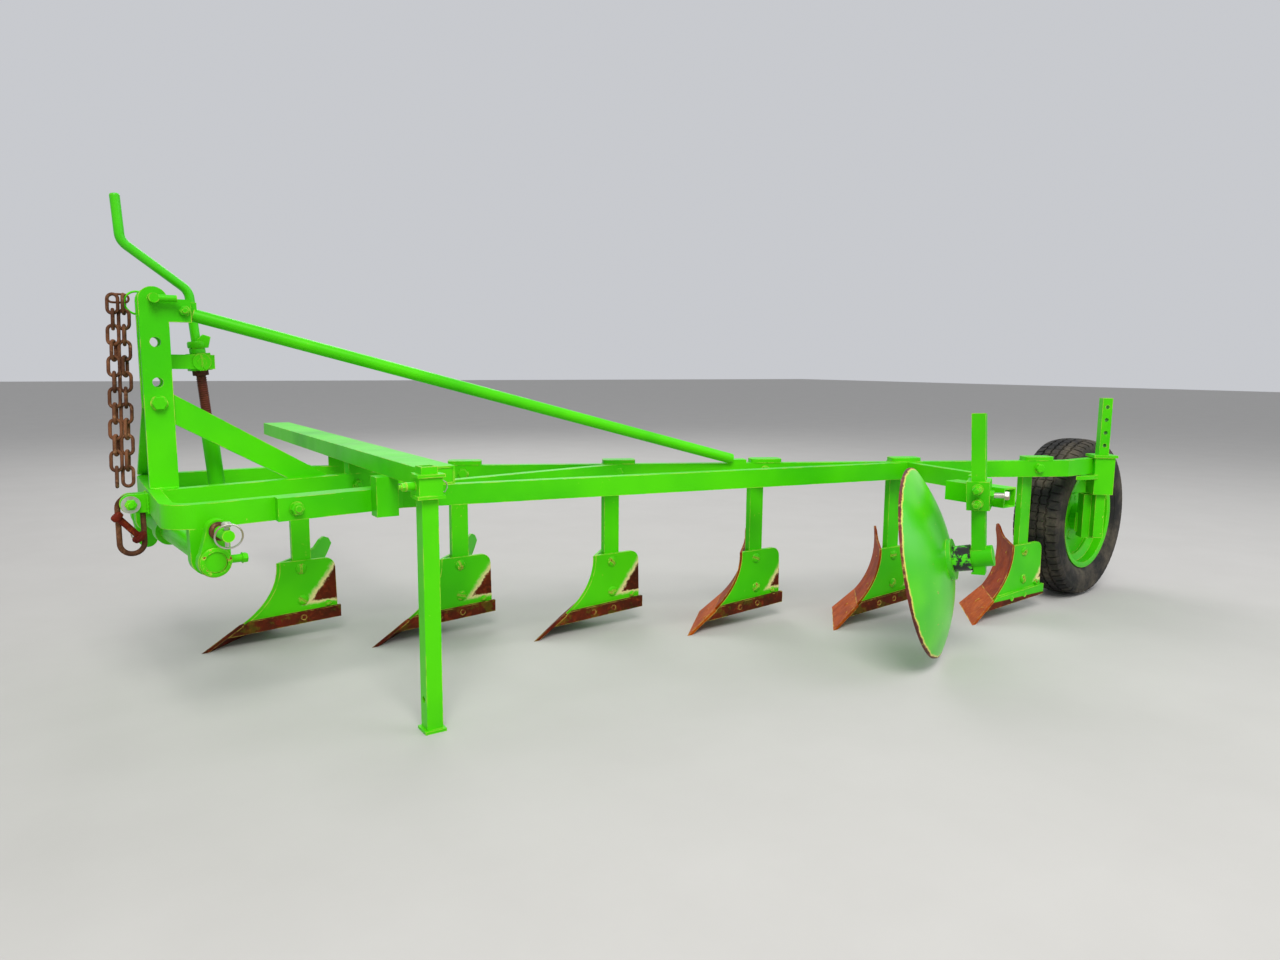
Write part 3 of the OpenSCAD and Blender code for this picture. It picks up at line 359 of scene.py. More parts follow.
def green_paint(name, wear_and_highlight=0.0):
    s = Shader(name)
    s.bsdf.inputs["Specular Tint"].default_value = GREEN_SHEEN
    colour, chips = green_colour(s, wear_and_highlight)
    rough = s.plus(s.uneven(0.28, 0.25, 14), s.times(chips, 0.3))
    s.bump(s.minus(s.noise(260, 2), s.times(chips, 0.6)), 0.12)
    return s.finish(colour, rough)


def rust_colour(s, tones):
    dark, middle, bright = tones
    base = s.mix(s.patches(0.35, 0.65, 11, 8, 0.7), dark, middle)
    return s.mix(s.patches(0.52, 0.72, 38, 8, 0.75), base, bright)


def rusty(name, tones, rough_low=0.55, rim=0.0):
    """Rusty steel; rim is how pale its edges are, partly old paint that clings there and partly painted
    highlight.
    """
    s = Shader(name, RUST_SHINE)
    colour = rust_colour(s, tones)
    if rim > 0:
        # Pale edges: old paint, and painted highlight.
        left = s.times(s.edges(0.005), s.patches(0.42, 0.60, 15, 6, 0.7))
        colour = s.mix(s.times(left, rim), colour, PALE_WEAR_AND_HIGHLIGHT)
    s.bump(s.noise(180, 8, 0.7), 0.35)
    return s.finish(colour, s.uneven(rough_low, 0.35, 30))


# Bare patch at the rear of a land plate, in metres: height of its slanting line at the rear edge, body
# by body, the line's steepness, and the patch's lowest height, above the lowest bolt.
BARE_TOP = (0.243, 0.222, 0.226, 0.185, 0.165, 0.150)
BARE_SLOPE = 1.35
BARE_LOW = 0.118
# The last body's landside bar is bare up to this height only.
LAST_BAR_BARE = 0.066


def plate_material(k):
    """Land plate and landside bar of body k: green, a rusty bar and a bare patch at the rear."""
    s = Shader(f"landside_{k + 1}")
    s.bsdf.inputs["Specular Tint"].default_value = GREEN_SHEEN
    colour, chips = green_colour(s, 0.02)
    local = s.moved(on_body(k, 0, 0, 0))
    x, y, z = (s.axis(i, local) for i in range(3))
    # How far inside the bare patch a point lies; grit makes the patch's outline ragged.
    line = s.plus(z, s.times(s.minus(PLATE_REAR / 1000, x), BARE_SLOPE))
    behind = s.math("DIVIDE", s.minus(BARE_TOP[k], line), 0.05)
    above = s.math("DIVIDE", s.minus(z, BARE_LOW), 0.02)
    grit = s.minus(s.noise(55, 10, 0.85), 0.5)
    inside = s.plus(s.math("MINIMUM", behind, above), s.times(grit, 1.6))
    faded = s.ramp(inside, -0.62, 0.0)
    bare = s.ramp(inside, 0.02, 0.22)
    rust = rust_colour(s, PLATE_RUST)
    colour = s.mix(faded, colour, CREAM)
    colour = s.mix(bare, colour, rust)
    # The bar stands out of the plate's face.
    bar = s.below(y, (PLATE_FACE - 0.6) / 1000)
    if k == LAST_BODY:
        bar = s.times(bar, s.below(z, LAST_BAR_BARE))
    bar = s.times(bar, s.larger(s.patches(0.40, 0.46, 16, 8, 0.75), 0.93))
    colour = s.mix(bar, colour, rust)
    # Pale yellow edges: partly worn paint, partly painted highlight.
    pale = s.times(s.edges(), s.patches(0.44, 0.56, 21, 6, 0.7))
    colour = s.mix(s.times(pale, 0.8), colour, PALE_WEAR_AND_HIGHLIGHT)
    worn = s.larger(bar, s.larger(bare, chips))
    rough = s.plus(s.times(worn, 0.35), s.uneven(0.25, 0.3, 18))
    s.bump(s.times(s.noise(170, 8, 0.7), s.plus(worn, 0.25)), 0.3)
    return s.finish(colour, rough)


def zinc_material():
    s = Shader("zinc")
    s.bump(s.noise(240, 3), 0.1)
    return s.finish(s.mix(s.patches(0.4, 0.7, 26), ZINC, DUST), s.uneven(0.25, 0.3, 60, 4), 0.8)


def tyre_material():
    s = Shader("tyre_rubber")
    dust = s.times(s.patches(0.40, 0.72, 7, 8, 0.7), 0.22)
    s.bump(s.noise(300, 4), 0.25)
    return s.finish(s.mix(dust, RUBBER, DUST), s.uneven(0.62, 0.2, 40))


# Height in metres at which the crank handle's paint begins.
HANDLE_PAINT_FROM = 0.945


def screw_material():
    """Rusty screw below, green crank handle above."""
    s = Shader("screw_and_handle")
    colour = green_colour(s, 0.0)[0]
    bare = s.below(s.axis(2), HANDLE_PAINT_FROM)
    s.bump(s.noise(200, 6), 0.2)
    rough = s.plus(s.times(bare, 0.35), 0.35)
    return s.finish(s.mix(bare, colour, rust_colour(s, SCREW_RUST)), rough)


# Disc's hub in metres: radius, how far from the dish's middle its dark paint begins.
HUB_R = 0.0425
HUB_FROM = 0.083


def disc_material():
    """Green dish with a rusty cutting edge and a dark hub splashed with green."""
    s = Shader("coulter_disc", DISC_SHINE)
    colour, chips = green_colour(s, 0.03, DISC_LIME)
    local = s.moved(at(*DISC))
    length = s.add("ShaderNodeVectorMath", operation="LENGTH")
    s.link(local, length.inputs[0])
    dist = length.outputs["Value"]
    rim = max((v.co - at(*DISC)).length for v in NODES["coulter_disc"].data.vertices)
    ragged = s.plus(dist, s.times(s.noise(30, 8, 0.75), 0.022))
    colour = s.mix(s.ramp(ragged, rim + 0.001, rim + 0.007), colour, PALE_WEAR_AND_HIGHLIGHT)
    along = s.dot(local, DISC_M.to_3x3() @ Vector((0, 0, 1)))
    beside = s.minus(s.times(dist, dist), s.times(along, along))
    hub = s.times(s.below(beside, HUB_R ** 2), s.math("GREATER_THAN", along, HUB_FROM))
    hub_tone = s.mix(s.patches(0.5, 0.56, 42, 8, 0.7), HUB_BLACK, LIME)
    colour = s.mix(hub, colour, hub_tone)
    edge = s.ramp(ragged, rim + 0.006, rim + 0.010)
    worn = s.larger(edge, chips)
    s.bump(s.times(s.noise(150, 8), s.plus(worn, 0.2)), 0.3)
    rough = s.plus(s.times(worn, 0.3), 0.3)
    return s.finish(s.mix(edge, colour, rust_colour(s, PLAIN_RUST)), rough)


GREEN = green_paint("green_paint")
GREEN_WORN = green_paint("green_worn", 0.04)
# Bolt heads take more pale specks and edges: worn paint, and painted highlight on their domes.
BOLT_WEAR_AND_HIGHLIGHT = green_paint("green_bolts", 0.13)
RUST = rusty("rust", PLAIN_RUST)
RUST_CHAIN = rusty("rust_chain", CHAIN_RUST)
RUST_SHARE = rusty("rust_share", SHARE_RUST, 0.45, 0.5)
RUST_RIM = rusty("rust_flush_heads", FLUSH_HEAD_RUST, 0.45, 0.9)
RUST_WORN = rusty("rust_worn_share", WORN_SHARE_RUST, 0.42, 0.8)
RUST_BOARD = rusty("rust_board", BOARD_RUST, 0.42, 0.8)
ZINC_MAT = zinc_material()
TYRE = tyre_material()
SCREW_MAT = screw_material()
DISC_MAT = disc_material()
NODE_FINISH = {"chain": RUST_CHAIN, "screw": SCREW_MAT, "coulter_disc": DISC_MAT, "tyre": TYRE,
               "wheel_rim": GREEN_WORN, "wheel_post": GREEN_WORN}


def cad_material(name):
    """Which finish a CAD node takes."""
    kind, _, number = name.rpartition("_")
    if not number.isdigit():
        return NODE_FINISH.get(name, GREEN)
    k = int(number) - 1
    if kind == "landside":
        return plate_material(k)
    if kind == "share":
        return RUST_WORN if k >= FIRST_WORN else RUST_SHARE
    if kind == "mouldboard":
        return RUST_BOARD if k >= FIRST_WORN else GREEN_WORN
    return GREEN_WORN


# Angles in degrees above which an edge is rounded, or stays sharp in the shading; how much the edges of
# the CAD nodes and of the screw's tab are rounded.
ROUND_ANGLE = 40
SHARP_ANGLE = 38
NODE_ROUND = 1.2
TAB_ROUND = 0.8


def round_edges(obj, width):
    """Rounds an object's edges by a width in millimetres."""
    bevel = obj.modifiers.new("edge", "BEVEL")
    bevel.width = width * MM
    bevel.segments = 2
    bevel.limit_method = "ANGLE"
    bevel.angle_limit = math.radians(ROUND_ANGLE)


def dress_nodes():
    """Gives each CAD node its finish, and all but the chain and the tyre slightly rounded edges."""
    for name, obj in NODES.items():
        obj.data.materials.clear()
        obj.data.materials.append(cad_material(name))
        if name not in ("chain", "tyre"):
            round_edges(obj, NODE_ROUND)


dress_nodes()


# Meshes


class Parts:
    """Small shapes that become one mesh, each in millimetres along the axes of a matrix."""

    def __init__(self):
        self.verts = []
        self.faces = []

    def put(self, points, faces):
        """Adds points of the frame, in metres, with the faces between them."""
        base = len(self.verts)
        self.verts += points
        self.faces += [[base + i for i in f] for f in faces]

    def add(self, points, faces, matrix):
        self.put([matrix @ Vector((x * MM, y * MM, z * MM)) for x, y, z in points], faces)

    def revolve(self, profile, matrix, steps=24):
        """Turns (radius, height) points round z; a radius of 0 closes the end."""
        rings = []
        points = []
        for r, h in profile:
            if r == 0:
                rings.append([len(points)])
                points.append((0, 0, h))
                continue
            rings.append(range(len(points), len(points) + steps))
            for i in range(steps):
                a = 2 * math.pi * i / steps
                points.append((r * math.cos(a), r * math.sin(a), h))
        faces = []
        for low, high in zip(rings, rings[1:]):
            for i in range(steps):
                j = (i + 1) % steps
                a, b = low[i % len(low)], low[j % len(low)]
                c, d = high[j % len(high)], high[i % len(high)]
                face = list(dict.fromkeys((a, b, c, d)))
                if len(face) > 2:
                    faces.append(face)
        self.add(points, faces, matrix)

    def tube(self, path, radius, matrix, sides=10, closed=False):
        """A round wire along a path of points."""
        path = [spot(matrix, *p) for p in path]
        radius *= MM
        n = len(path)
        points = []
        normal = None
        for i, p in enumerate(path):
            before = path[i - 1] if closed or i > 0 else p
            after = path[(i + 1) % n] if closed or i < n - 1 else p
            t = (after - before).normalized()
            if normal is None:
                normal = t.orthogonal().normalized()
            normal = (normal - normal.dot(t) * t).normalized()
            side = t.cross(normal)
            for j in range(sides):
                a = 2 * math.pi * j / sides
                points.append(p + radius * (math.cos(a) * normal + math.sin(a) * side))
        faces = []
        for i in range(n if closed else n - 1):
            k = (i + 1) % n
            for j in range(sides):
                m = (j + 1) % sides
                faces.append([i * sides + j, i * sides + m, k * sides + m, k * sides + j])
        if not closed:
            faces.append(list(range(sides))[::-1])
            faces.append([(n - 1) * sides + j for j in range(sides)])
        self.put(points, faces)

    def prism(self, outline, low, high, matrix):
        n = len(outline)
        points = [(x, y, z) for z in (low, high) for x, y in outline]
        faces = [[i, (i + 1) % n, n + (i + 1) % n, n + i] for i in range(n)]
        faces += [list(range(n))[::-1], list(range(n, 2 * n))]
        self.add(points, faces, matrix)

    def make(self, name, body, material, bevel=0):
        """Makes the object; bevel is the width in millimetres by which its edges are rounded."""
        mesh = bpy.data.meshes.new(name)
        mesh.from_pydata(self.verts, [], self.faces)
        mesh.validate()
        work = bmesh.new()
        work.from_mesh(mesh)
        bmesh.ops.recalc_face_normals(work, faces=work.faces)
        work.to_mesh(mesh)
        work.free()
        mesh.shade_smooth()
        mesh.set_sharp_from_angle(angle=math.radians(SHARP_ANGLE))
        mesh.materials.append(material)
        obj = bpy.data.objects.new(name, mesh)
        bpy.context.scene.collection.objects.link(obj)
        if bevel:
            round_edges(obj, bevel)
        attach(obj, body)
        return obj


def lathe(name, body, profile, matrix, steps, material=GREEN):
    """A piece turned from one profile."""
    piece = Parts()
    piece.revolve(profile, matrix, steps)
    piece.make(name, body, material)


# Hex heads: washer's thickness; radii of washer and thread as shares of the size across flats.
WASHER_T = 2
WASHER_SHARE = 0.62
THREAD_SHARE = 0.3
# Where a head's chamfer begins, as a share of its height, and how wide the top stays.
CHAMFER_FROM = 0.82
CHAMFER_IN = 0.86


def hex_head(parts, matrix, across, h, stud=0, washer=True):
    """A hex head or nut that stands on a matrix's z = 0; stud is how far its thread stands out."""
    base = WASHER_T if washer else 0
    if washer:
        r = across * WASHER_SHARE
        parts.revolve([(0, 0), (r, 0), (r, base), (0, base)], matrix)
    r = across / 2 / math.cos(math.radians(30))
    corners = [math.radians(60 * i) for i in range(6)]
    points = []
    for scale, z in ((1, base), (1, base + h * CHAMFER_FROM), (CHAMFER_IN, base + h)):
        points += [(r * scale * math.cos(a), r * scale * math.sin(a), z) for a in corners]
    faces = [list(range(6))[::-1], list(range(12, 18))]
    for low in (0, 6):
        for i in range(6):
            j = (i + 1) % 6
            faces.append([low + i, low + j, low + 6 + j, low + 6 + i])
    parts.add(points, faces, matrix)
    if stud:
        r = across * THREAD_SHARE
        top = base + h + stud
        parts.revolve([(r, base), (r, top - 1), (r - 1, top), (0, top)], matrix, 16)


def bolt(name, body, matrix, where, direction, across, h, stud=0):
    """One painted hex head or nut. Place and direction are along the matrix's axes.

    The constants for a bolt give its size across flats, its height and how far its thread stands out.
    """
    seat = place(spot(matrix, *where), matrix.to_3x3() @ Vector(direction))
    head = Parts()
    hex_head(head, seat, across, h, stud)
    head.make(name, body, GREEN)


# Domed heads: slot's half width as a share of the radius; its depth and the rim as shares of the
# height; how finely the dome is divided.
SLOT_SHARE = 0.16
SLOT_DEPTH = 0.45
DOME_RIM = 0.1
DOME_COLUMNS = 16
DOME_ROWS = 14


def domed_head(parts, matrix, r, h, turn):
    """A low round head with a screwdriver slot, turned by an angle in radians."""
    matrix = matrix @ Matrix.Rotation(turn, 4, "Z")
    slot = r * SLOT_SHARE
    slot_d = h * SLOT_DEPTH
    near = 1e-6
    columns = [-slot, slot] + [r * (2 * i / DOME_COLUMNS - 1) for i in range(DOME_COLUMNS + 1)]
    columns.sort()
    points = []
    faces = []
    for x in columns:
        half = math.sqrt(max(0.0, r * r - x * x))
        for j in range(DOME_ROWS + 1):
            y = half * (2 * j / DOME_ROWS - 1)
            dome = math.sqrt(max(0.0, 1 - (math.hypot(x, y) / r) ** 2))
            points.append((x, y, h * (dome * (1 - DOME_RIM) + DOME_RIM)))
    for i, (left, right) in enumerate(zip(columns, columns[1:])):
        for j in range(DOME_ROWS):
            a = i * (DOME_ROWS + 1) + j
            quad = [a, a + DOME_ROWS + 1, a + DOME_ROWS + 2, a + 1]
            if left < -slot - near or right > slot + near:
                faces.append(quad)
                continue
            low = len(points)
            points += [(points[q][0], points[q][1], points[q][2] - slot_d) for q in quad]
            faces.append([low, low + 1, low + 2, low + 3])
            if abs(left + slot) < near:
                faces.append([quad[0], quad[3], low + 3, low])
            if abs(right - slot) < near:
                faces.append([quad[1], quad[2], low + 2, low + 1])
    parts.add(points, faces, matrix)
    parts.revolve([(r, -1), (r, h * DOME_RIM)], matrix, 40)


# Bolts of the bodies. Land side, columns: behind the share point, height, radius.
LAND = Vector((0, -1, 0))
PLATE_BOLTS = ((317, 235, 18), (320, 128, 18), (402, 106, 11))
PLATE_HEAD_H = 7
BAR_BOLTS = ((236, 66), (318, 70.4))
# Flush head of the landside bar: radius, height over the bar.
FLUSH_HEAD = ((10.5, -1), (10.5, 0.7), (9.7, 1.3), (8.2, 1.3), (7.6, 0.3), (0, 0.3))
# Share bolts, columns: along the cutting edge, up the share's slope.
SHARE_BOLTS = ((92, 66), (198, 66))
# Mouldboard bolts, columns: along the edge, degrees up the board's curve from straight down.
BOARD_BOLTS = ((205, 58), (335, 58), (275, 82))
# Radius and height of the heads of both, and how deep all of them sit in their plates.
SHARE_HEAD = (12, 2.4)
BOARD_HEAD = (11, 2.2)
SUNK = 0.6
# Cutting edge's turn from the line of travel; share's pitch and width; mouldboard's inner radius.
CUT_ANGLE = 44.5
SHARE_PITCH = 43
SHARE_W = 112
MOULD_R = 242


def land_bolts(k):
    """Domed bolts of body k's land plate, each turned another way, and flush ones of its bar."""
    heads = Parts()
    for i, (x, z, r) in enumerate(PLATE_BOLTS):
        face = place(on_body(k, x, PLATE_FACE, z), LAND)
        domed_head(heads, face, r, PLATE_HEAD_H, 0.4 * k + 0.9 * i)
    heads.make(f"plate_bolts_{k + 1}", "frame", BOLT_WEAR_AND_HIGHLIGHT)
    heads = Parts()
    for x, z in BAR_BOLTS:
        heads.revolve(FLUSH_HEAD, place(on_body(k, x, LANDSIDE_FACE, z), LAND), 28)
    painted = k == LAST_BODY
    heads.make(f"bar_bolts_{k + 1}", "frame", GREEN_WORN if painted else RUST_RIM)


def soil_bolts(k):
    """Bolts of body k's share and mouldboard, on the side that turns the soil."""
    tx, ty = tip(k)
    edge = Matrix.Translation(at(tx, ty + LANDSIDE_FACE, 0)) @ turned(rz=CUT_ANGLE)
    worn = k >= FIRST_WORN
    pitch = math.radians(SHARE_PITCH)
    share = edge @ turned(rx=-SHARE_PITCH)
    up = share.to_3x3() @ Vector((0, 0, 1))
    heads = Parts()
    for i, (x, slope) in enumerate(SHARE_BOLTS):
        domed_head(heads, place(spot(share, x, -slope, -SUNK), up), *SHARE_HEAD, 0.5 * k + i)
    heads.make(f"share_bolts_{k + 1}", "frame", RUST_WORN if worn else RUST_SHARE)
    # The board's curve starts in line with the share, round an axis parallel to the edge.
    axis_y = MOULD_R * math.sin(pitch) - SHARE_W * math.cos(pitch)
    axis_z = MOULD_R * math.cos(pitch) + SHARE_W * math.sin(pitch)
    reach = MOULD_R + SUNK
    heads = Parts()
    for i, (x, turn) in enumerate(BOARD_BOLTS):
        a = math.radians(turn)
        out = edge.to_3x3() @ Vector((0, math.sin(a), math.cos(a)))
        seat = spot(edge, x, axis_y - reach * math.sin(a), axis_z - reach * math.cos(a))
        domed_head(heads, place(seat, out), *BOARD_HEAD, 0.7 * k + i)
    heads.make(f"board_bolts_{k + 1}", "frame", RUST_BOARD if worn else GREEN_WORN)


def leftward(yaw):
    """Level direction out of the left face of a bar turned by yaw degrees."""
    a = math.radians(yaw)
    return math.sin(a), -math.cos(a), 0


# Bolts of the frame. Near corner of the main beam; a beam bolt's place behind a leg's front edge
# and above the beam's underside.
BEAM_NEAR = (428, 316)
BEAM_BOLT_IN = 26
BEAM_BOLT_UP = 32
BEAM_BOLT = (30, 13)
# Place of the clevis bolt's head; profile of the washer under it.
CLEVIS_HEAD = (-42, -65, 551)
CLEVIS_WASHER = ((9, 0), (23, 0), (23, 3), (9, 3))
# Columns: name, place, direction, size across flats, height, thread that stands out.
FRAME_BOLTS = (
    ("arm_bolt", (304, -370.2, 555), leftward(8.8), 30, 12, 4),
    ("middle_bolt", (575, 26.8, 552), leftward(10.6), 26, 12, 3),
    ("spacer_bolt", (41, -43, 814), (0, -1, 0), 34, 13, 0),
    ("spacer_nut", (41, 45, 814), (0, 1, 0), 34, 13, 6),
    ("stay_bolt", (113, -43, 1058), (0, -1, 0), 24, 11, 6),
    ("stay_nut", (113, -13, 1058), (0, 1, 0), 24, 11, 4),
    ("clevis_bolt", CLEVIS_HEAD, (0, -1, 0), 26, 12, 5),
    ("clevis_nut", (-42, 3, 551), (0, 1, 0), 26, 14, 5))


def frame_bolts():
    for k in BODIES[1:]:
        x = tip(k)[0] + LEG_SET + BEAM_BOLT_IN
        y = BEAM_NEAR[1] + (x - BEAM_NEAR[0]) * math.tan(math.radians(BEAM_YAW))
        bolt(f"beam_bolt_{k + 1}", "frame", LAYOUT_M, (x, y, FRAME_LOW + BEAM_BOLT_UP),
             leftward(BEAM_YAW), *BEAM_BOLT)
    for name, where, direction, across, h, stud in FRAME_BOLTS:
        bolt(name, "frame", LAYOUT_M, where, direction, across, h, stud)
    lathe("clevis_washer", "frame", CLEVIS_WASHER, place(at(*CLEVIS_HEAD), (0, -1, 0)), 32,
          ZINC_MAT)


# Plate in the near end of the hollow cross beam: beam's wall, plate's thickness, how deep it sits.
BEAM_WALL = 4
CAP_T = 5
CAP_IN = 2


def beam_cap():
    low, high = (Vector(c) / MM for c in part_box("cross_beam"))
    x0, x1 = low.x + BEAM_WALL, high.x - BEAM_WALL
    z0, z1 = low.z + BEAM_WALL, high.z - BEAM_WALL
    cap = Parts()
    cap.prism([(x0, z0), (x1, z0), (x1, z1), (x0, z1)], 0, CAP_T,
              shift(0, low.y + CAP_IN + CAP_T, 0) @ turned(rx=90))
    cap.make("cross_beam_cap", "frame", GREEN)


# Cross shaft with its cranks: crank's outer face, thickness and throw; its boss; its link pin.
CRANK_FACE = 425
CRANK_T = 25
CRANK_THROW = 76
BOSS_R = 38
PIN_L = 92
# Columns: name, side, turn of the crank.
CRANKS = (("left", -1, 82.5), ("right", 1, -88))
SET_BOLT_OUT = BOSS_R + 25
SET_BOLT = (22, 11)
# Linch pin: distance from the link pin's end, height of both ends and of the head, radius.
LINCH_IN = 16
LINCH_LOW = -26
LINCH_HIGH = 24
LINCH_HEAD_AT = 20
LINCH_R = 5
LINCH_HEAD = ((0, 0), (9, 0), (11, 3), (11, 9), (8, 12), (0, 12))
# Its ring: middle from the pin's hole, direction it faces, radius, wire's radius.
RING_AT = (2, 9, -1)
RING_FACES = (0.12, 1, 0.25)
RING_R = 30
RING_WIRE_R = 2.2
PIN_COLLAR = ((14, 0), (21, 0), (22, 2), (22, 16), (19, 19), (14, 19))
BOSS_RING = ((25.5, 0), (34, 0), (36, 2), (36, 7), (33, 9), (25.5, 9))


def circle(radius, steps=40):
    angles = (2 * math.pi * i / steps for i in range(steps))
    return [(radius * math.cos(a), radius * math.sin(a), 0) for a in angles]


def dress_cranks():
    for name, side, turn in CRANKS:
        x = CRANK_THROW * math.cos(math.radians(turn))
        z = CRANK_THROW * math.sin(math.radians(turn))
        bolt(f"{name}_set_bolt", "hitch_shaft", SHAFT_M,
             (SET_BOLT_OUT, side * (CRANK_FACE - CRANK_T / 2), 0), (1, 0, 0), *SET_BOLT)
        hole = side * (CRANK_FACE + PIN_L - LINCH_IN)
        pin = Parts()
        pin.tube([(x, hole, z + LINCH_LOW), (x, hole, z + LINCH_HIGH)], LINCH_R, SHAFT_M, 16)
        pin.revolve(LINCH_HEAD, SHAFT_M @ shift(x, hole, z + LINCH_HEAD_AT), 20)
        pin.make(f"{name}_linch_pin", "hitch_shaft", ZINC_MAT)
        centre = spot(SHAFT_M, x + RING_AT[0], hole + side * RING_AT[1], z + RING_AT[2])
        ring = Parts()
        ring.tube(circle(RING_R), RING_WIRE_R, place(centre, SHAFT_M.to_3x3() @ Vector(RING_FACES)),
                  8, closed=True)
        ring.make(f"{name}_linch_ring", "hitch_shaft", ZINC_MAT)
        outward = turned(rx=-90 * side)
        lathe(f"{name}_pin_collar", "hitch_shaft", PIN_COLLAR,
              SHAFT_M @ shift(x, side * CRANK_FACE, z) @ outward, 32, RUST_CHAIN)
        lathe(f"{name}_boss_ring", "hitch_shaft", BOSS_RING,
              SHAFT_M @ shift(0, side * CRANK_FACE, 0) @ outward, 48, BOLT_WEAR_AND_HIGHLIGHT)


# Crank screw, heights along it from the shaft's axis: trunnion's middle, tube's top, screw's ends.
TRUNNION_H = 463
TUBE_TOP = 250
SCREW_FROM = 110
SCREW_TO = 516
SCREW_R = 14
THREAD_PITCH = 6
THREAD_DEPTH = 1.7
THREAD_STEPS = 20
# Thread's core radius; the thread runs on into the tube, out of sight.
CORE_R = SCREW_R - THREAD_DEPTH
THREAD_IN_TUBE = 30
# Stop rings below and above the trunnion: half its height, a ring's height, outline of a ring.
TRUNNION_HALF = 24
STOP_H = 14
STOPS = (TRUNNION_H - TRUNNION_HALF - STOP_H, TRUNNION_H + TRUNNION_HALF)
STOP_RING = ((0, 0), (6, 0), (7, 1), (7, 13), (6, 14), (0, 14))
# Crank handle, columns: from the shaft's axis towards the screw, height.
HANDLE = ((143, 470), (143, 660), (-6, 795), (-2, 912))
HANDLE_R = 12.5
HANDLE_BEND = 42
HANDLE_END = ((12.5, 0), (11.5, 3), (8, 5), (0, 6))


def rounded(points, radius, steps=8):
    """The path with its inner corners rounded."""
    path = [points[0]]
    for a, b, c in zip(points, points[1:], points[2:]):
        u, v = (a - b).normalized(), (c - b).normalized()
        half = u.angle(v) / 2
        cut = radius / math.tan(half)
        middle = b + (u + v).normalized() * radius / math.sin(half)
        start, end = b + u * cut - middle, b + v * cut - middle
        for i in range(steps + 1):
            path.append(middle + start.slerp(end, i / steps).normalized() * radius)
    return path + [points[-1]]


def make_screw():
    """Screw with its stop rings and the bent crank handle, in place of the CAD's straight one."""
    profile = [(0, SCREW_FROM), (CORE_R - 2, SCREW_FROM), (CORE_R, SCREW_FROM + 2),
               (CORE_R, STOPS[0] - 2), (SCREW_R, STOPS[0] - 1)]
    for z in STOPS:
        profile += [(SCREW_R + out, z + up) for out, up in STOP_RING]
    profile += [(SCREW_R, SCREW_TO - 4), (SCREW_R - 2, SCREW_TO), (0, SCREW_TO)]
    rod = Parts()
    rod.revolve(profile, SCREW_M @ shift(LEVER, 0, 0), 32)
    rod.tube(rounded([Vector((x, 0, z)) for x, z in HANDLE], HANDLE_BEND), HANDLE_R, SCREW_M, 20)
    rod.revolve(HANDLE_END, SCREW_M @ shift(HANDLE[-1][0], 0, HANDLE[-1][1]), 20)
    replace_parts(rod.make("screw_and_crank", "frame", SCREW_MAT), "screw")


# Trunnion's stub on the near side: its end, its washer, and the split pin's legs. Columns of the
# pin: to the side, out from the stub's end, up.
STUB_OUT = -32.5
STUB_WASHER = ((12.2, 0), (23, 0), (24, 1), (24, 3.5), (12.2, 3.5))
SPLIT_PIN = ((1.5, 4.2, 20), (1.5, 4.2, -14), (8, 5, -24))
SPLIT_PIN_R = 1.6
# Tab beside the upper stop ring, and the collar at the foot of the handle.
STOP_TAB = ((-22, 0), (20, 0), (30, 30), (10, 38), (-22, 12))
TAB_T = 6
TAB_AT = (6, -15, 38)
SCREW_COLLAR = ((14, 0), (22, 1), (24, 4), (24, 16), (21, 20), (14, 20))


def dress_screw():
    low, high = TUBE_TOP - THREAD_IN_TUBE, STOPS[0] - 2
    count = int((high - low) / THREAD_PITCH) * THREAD_STEPS
    path = []
    for i in range(count + 1):
        a = 2 * math.pi * i / THREAD_STEPS
        path.append((LEVER + CORE_R * math.cos(a), CORE_R * math.sin(a),
                     low + THREAD_PITCH * i / THREAD_STEPS))
    thread = Parts()
    thread.tube(path, THREAD_DEPTH, SCREW_M, 6)
    thread.make("screw_thread", "frame", SCREW_MAT)
    trunnion = SCREW_M @ shift(LEVER, 0, TRUNNION_H)
    lathe("trunnion_washer", "frame", STUB_WASHER,
          trunnion @ shift(0, STUB_OUT, 0) @ turned(rx=90), 40)
    pin = Parts()
    for side in (-1, 1):
        pin.tube([(side * x, STUB_OUT - y, z) for x, y, z in SPLIT_PIN], SPLIT_PIN_R, trunnion, 8)
    pin.make("trunnion_split_pin", "frame", GREEN)
    tab = Parts()
    tab.prism(STOP_TAB, -TAB_T / 2, TAB_T / 2, trunnion @ shift(*TAB_AT) @ turned(rx=90))
    tab.make("screw_stop_tab", "frame", GREEN, TAB_ROUND)
    lathe("screw_collar", "frame", SCREW_COLLAR, SCREW_M @ shift(LEVER, 0, STOPS[1] + STOP_H), 32)


# Chain of two strands: wire, half the opening, length and slack of a link; gap between the strands.
LINK_WIRE = 9
LINK_IN = 8.5
LINK_PITCH = 42
LINK_SLACK = 0.8
LINK_TWIST = 11
STRAND_GAP = 25.6
CHAIN_FROM = Vector((-18, 63, 1096))
CHAIN_TO = Vector((-42, -31, 592))
# Oval link that carries both strands on the top pin's hoop.
HANGER_WIRE = 6
HANGER_IN = 8
HANGER_DROP = 6
# Bow that hangs on the clevis pin, and the bolt that lies in it.
CLEVIS = (-42, -31, 551)
CLEVIS_PIN_R = 10
BOW_WIRE = 14
BOW_IN = 22
BOW_L = 96
BOW_BOLT_AT = (-78, -48, 524)
BOW_BOLT_ALONG = (0.62, 0.16, -0.76)
BOW_BOLT = ((0, 0), (13, 0), (15, 3), (15, 12), (8.5, 16), (8.5, 78), (18, 80), (20, 84), (18, 92),
            (0, 94))


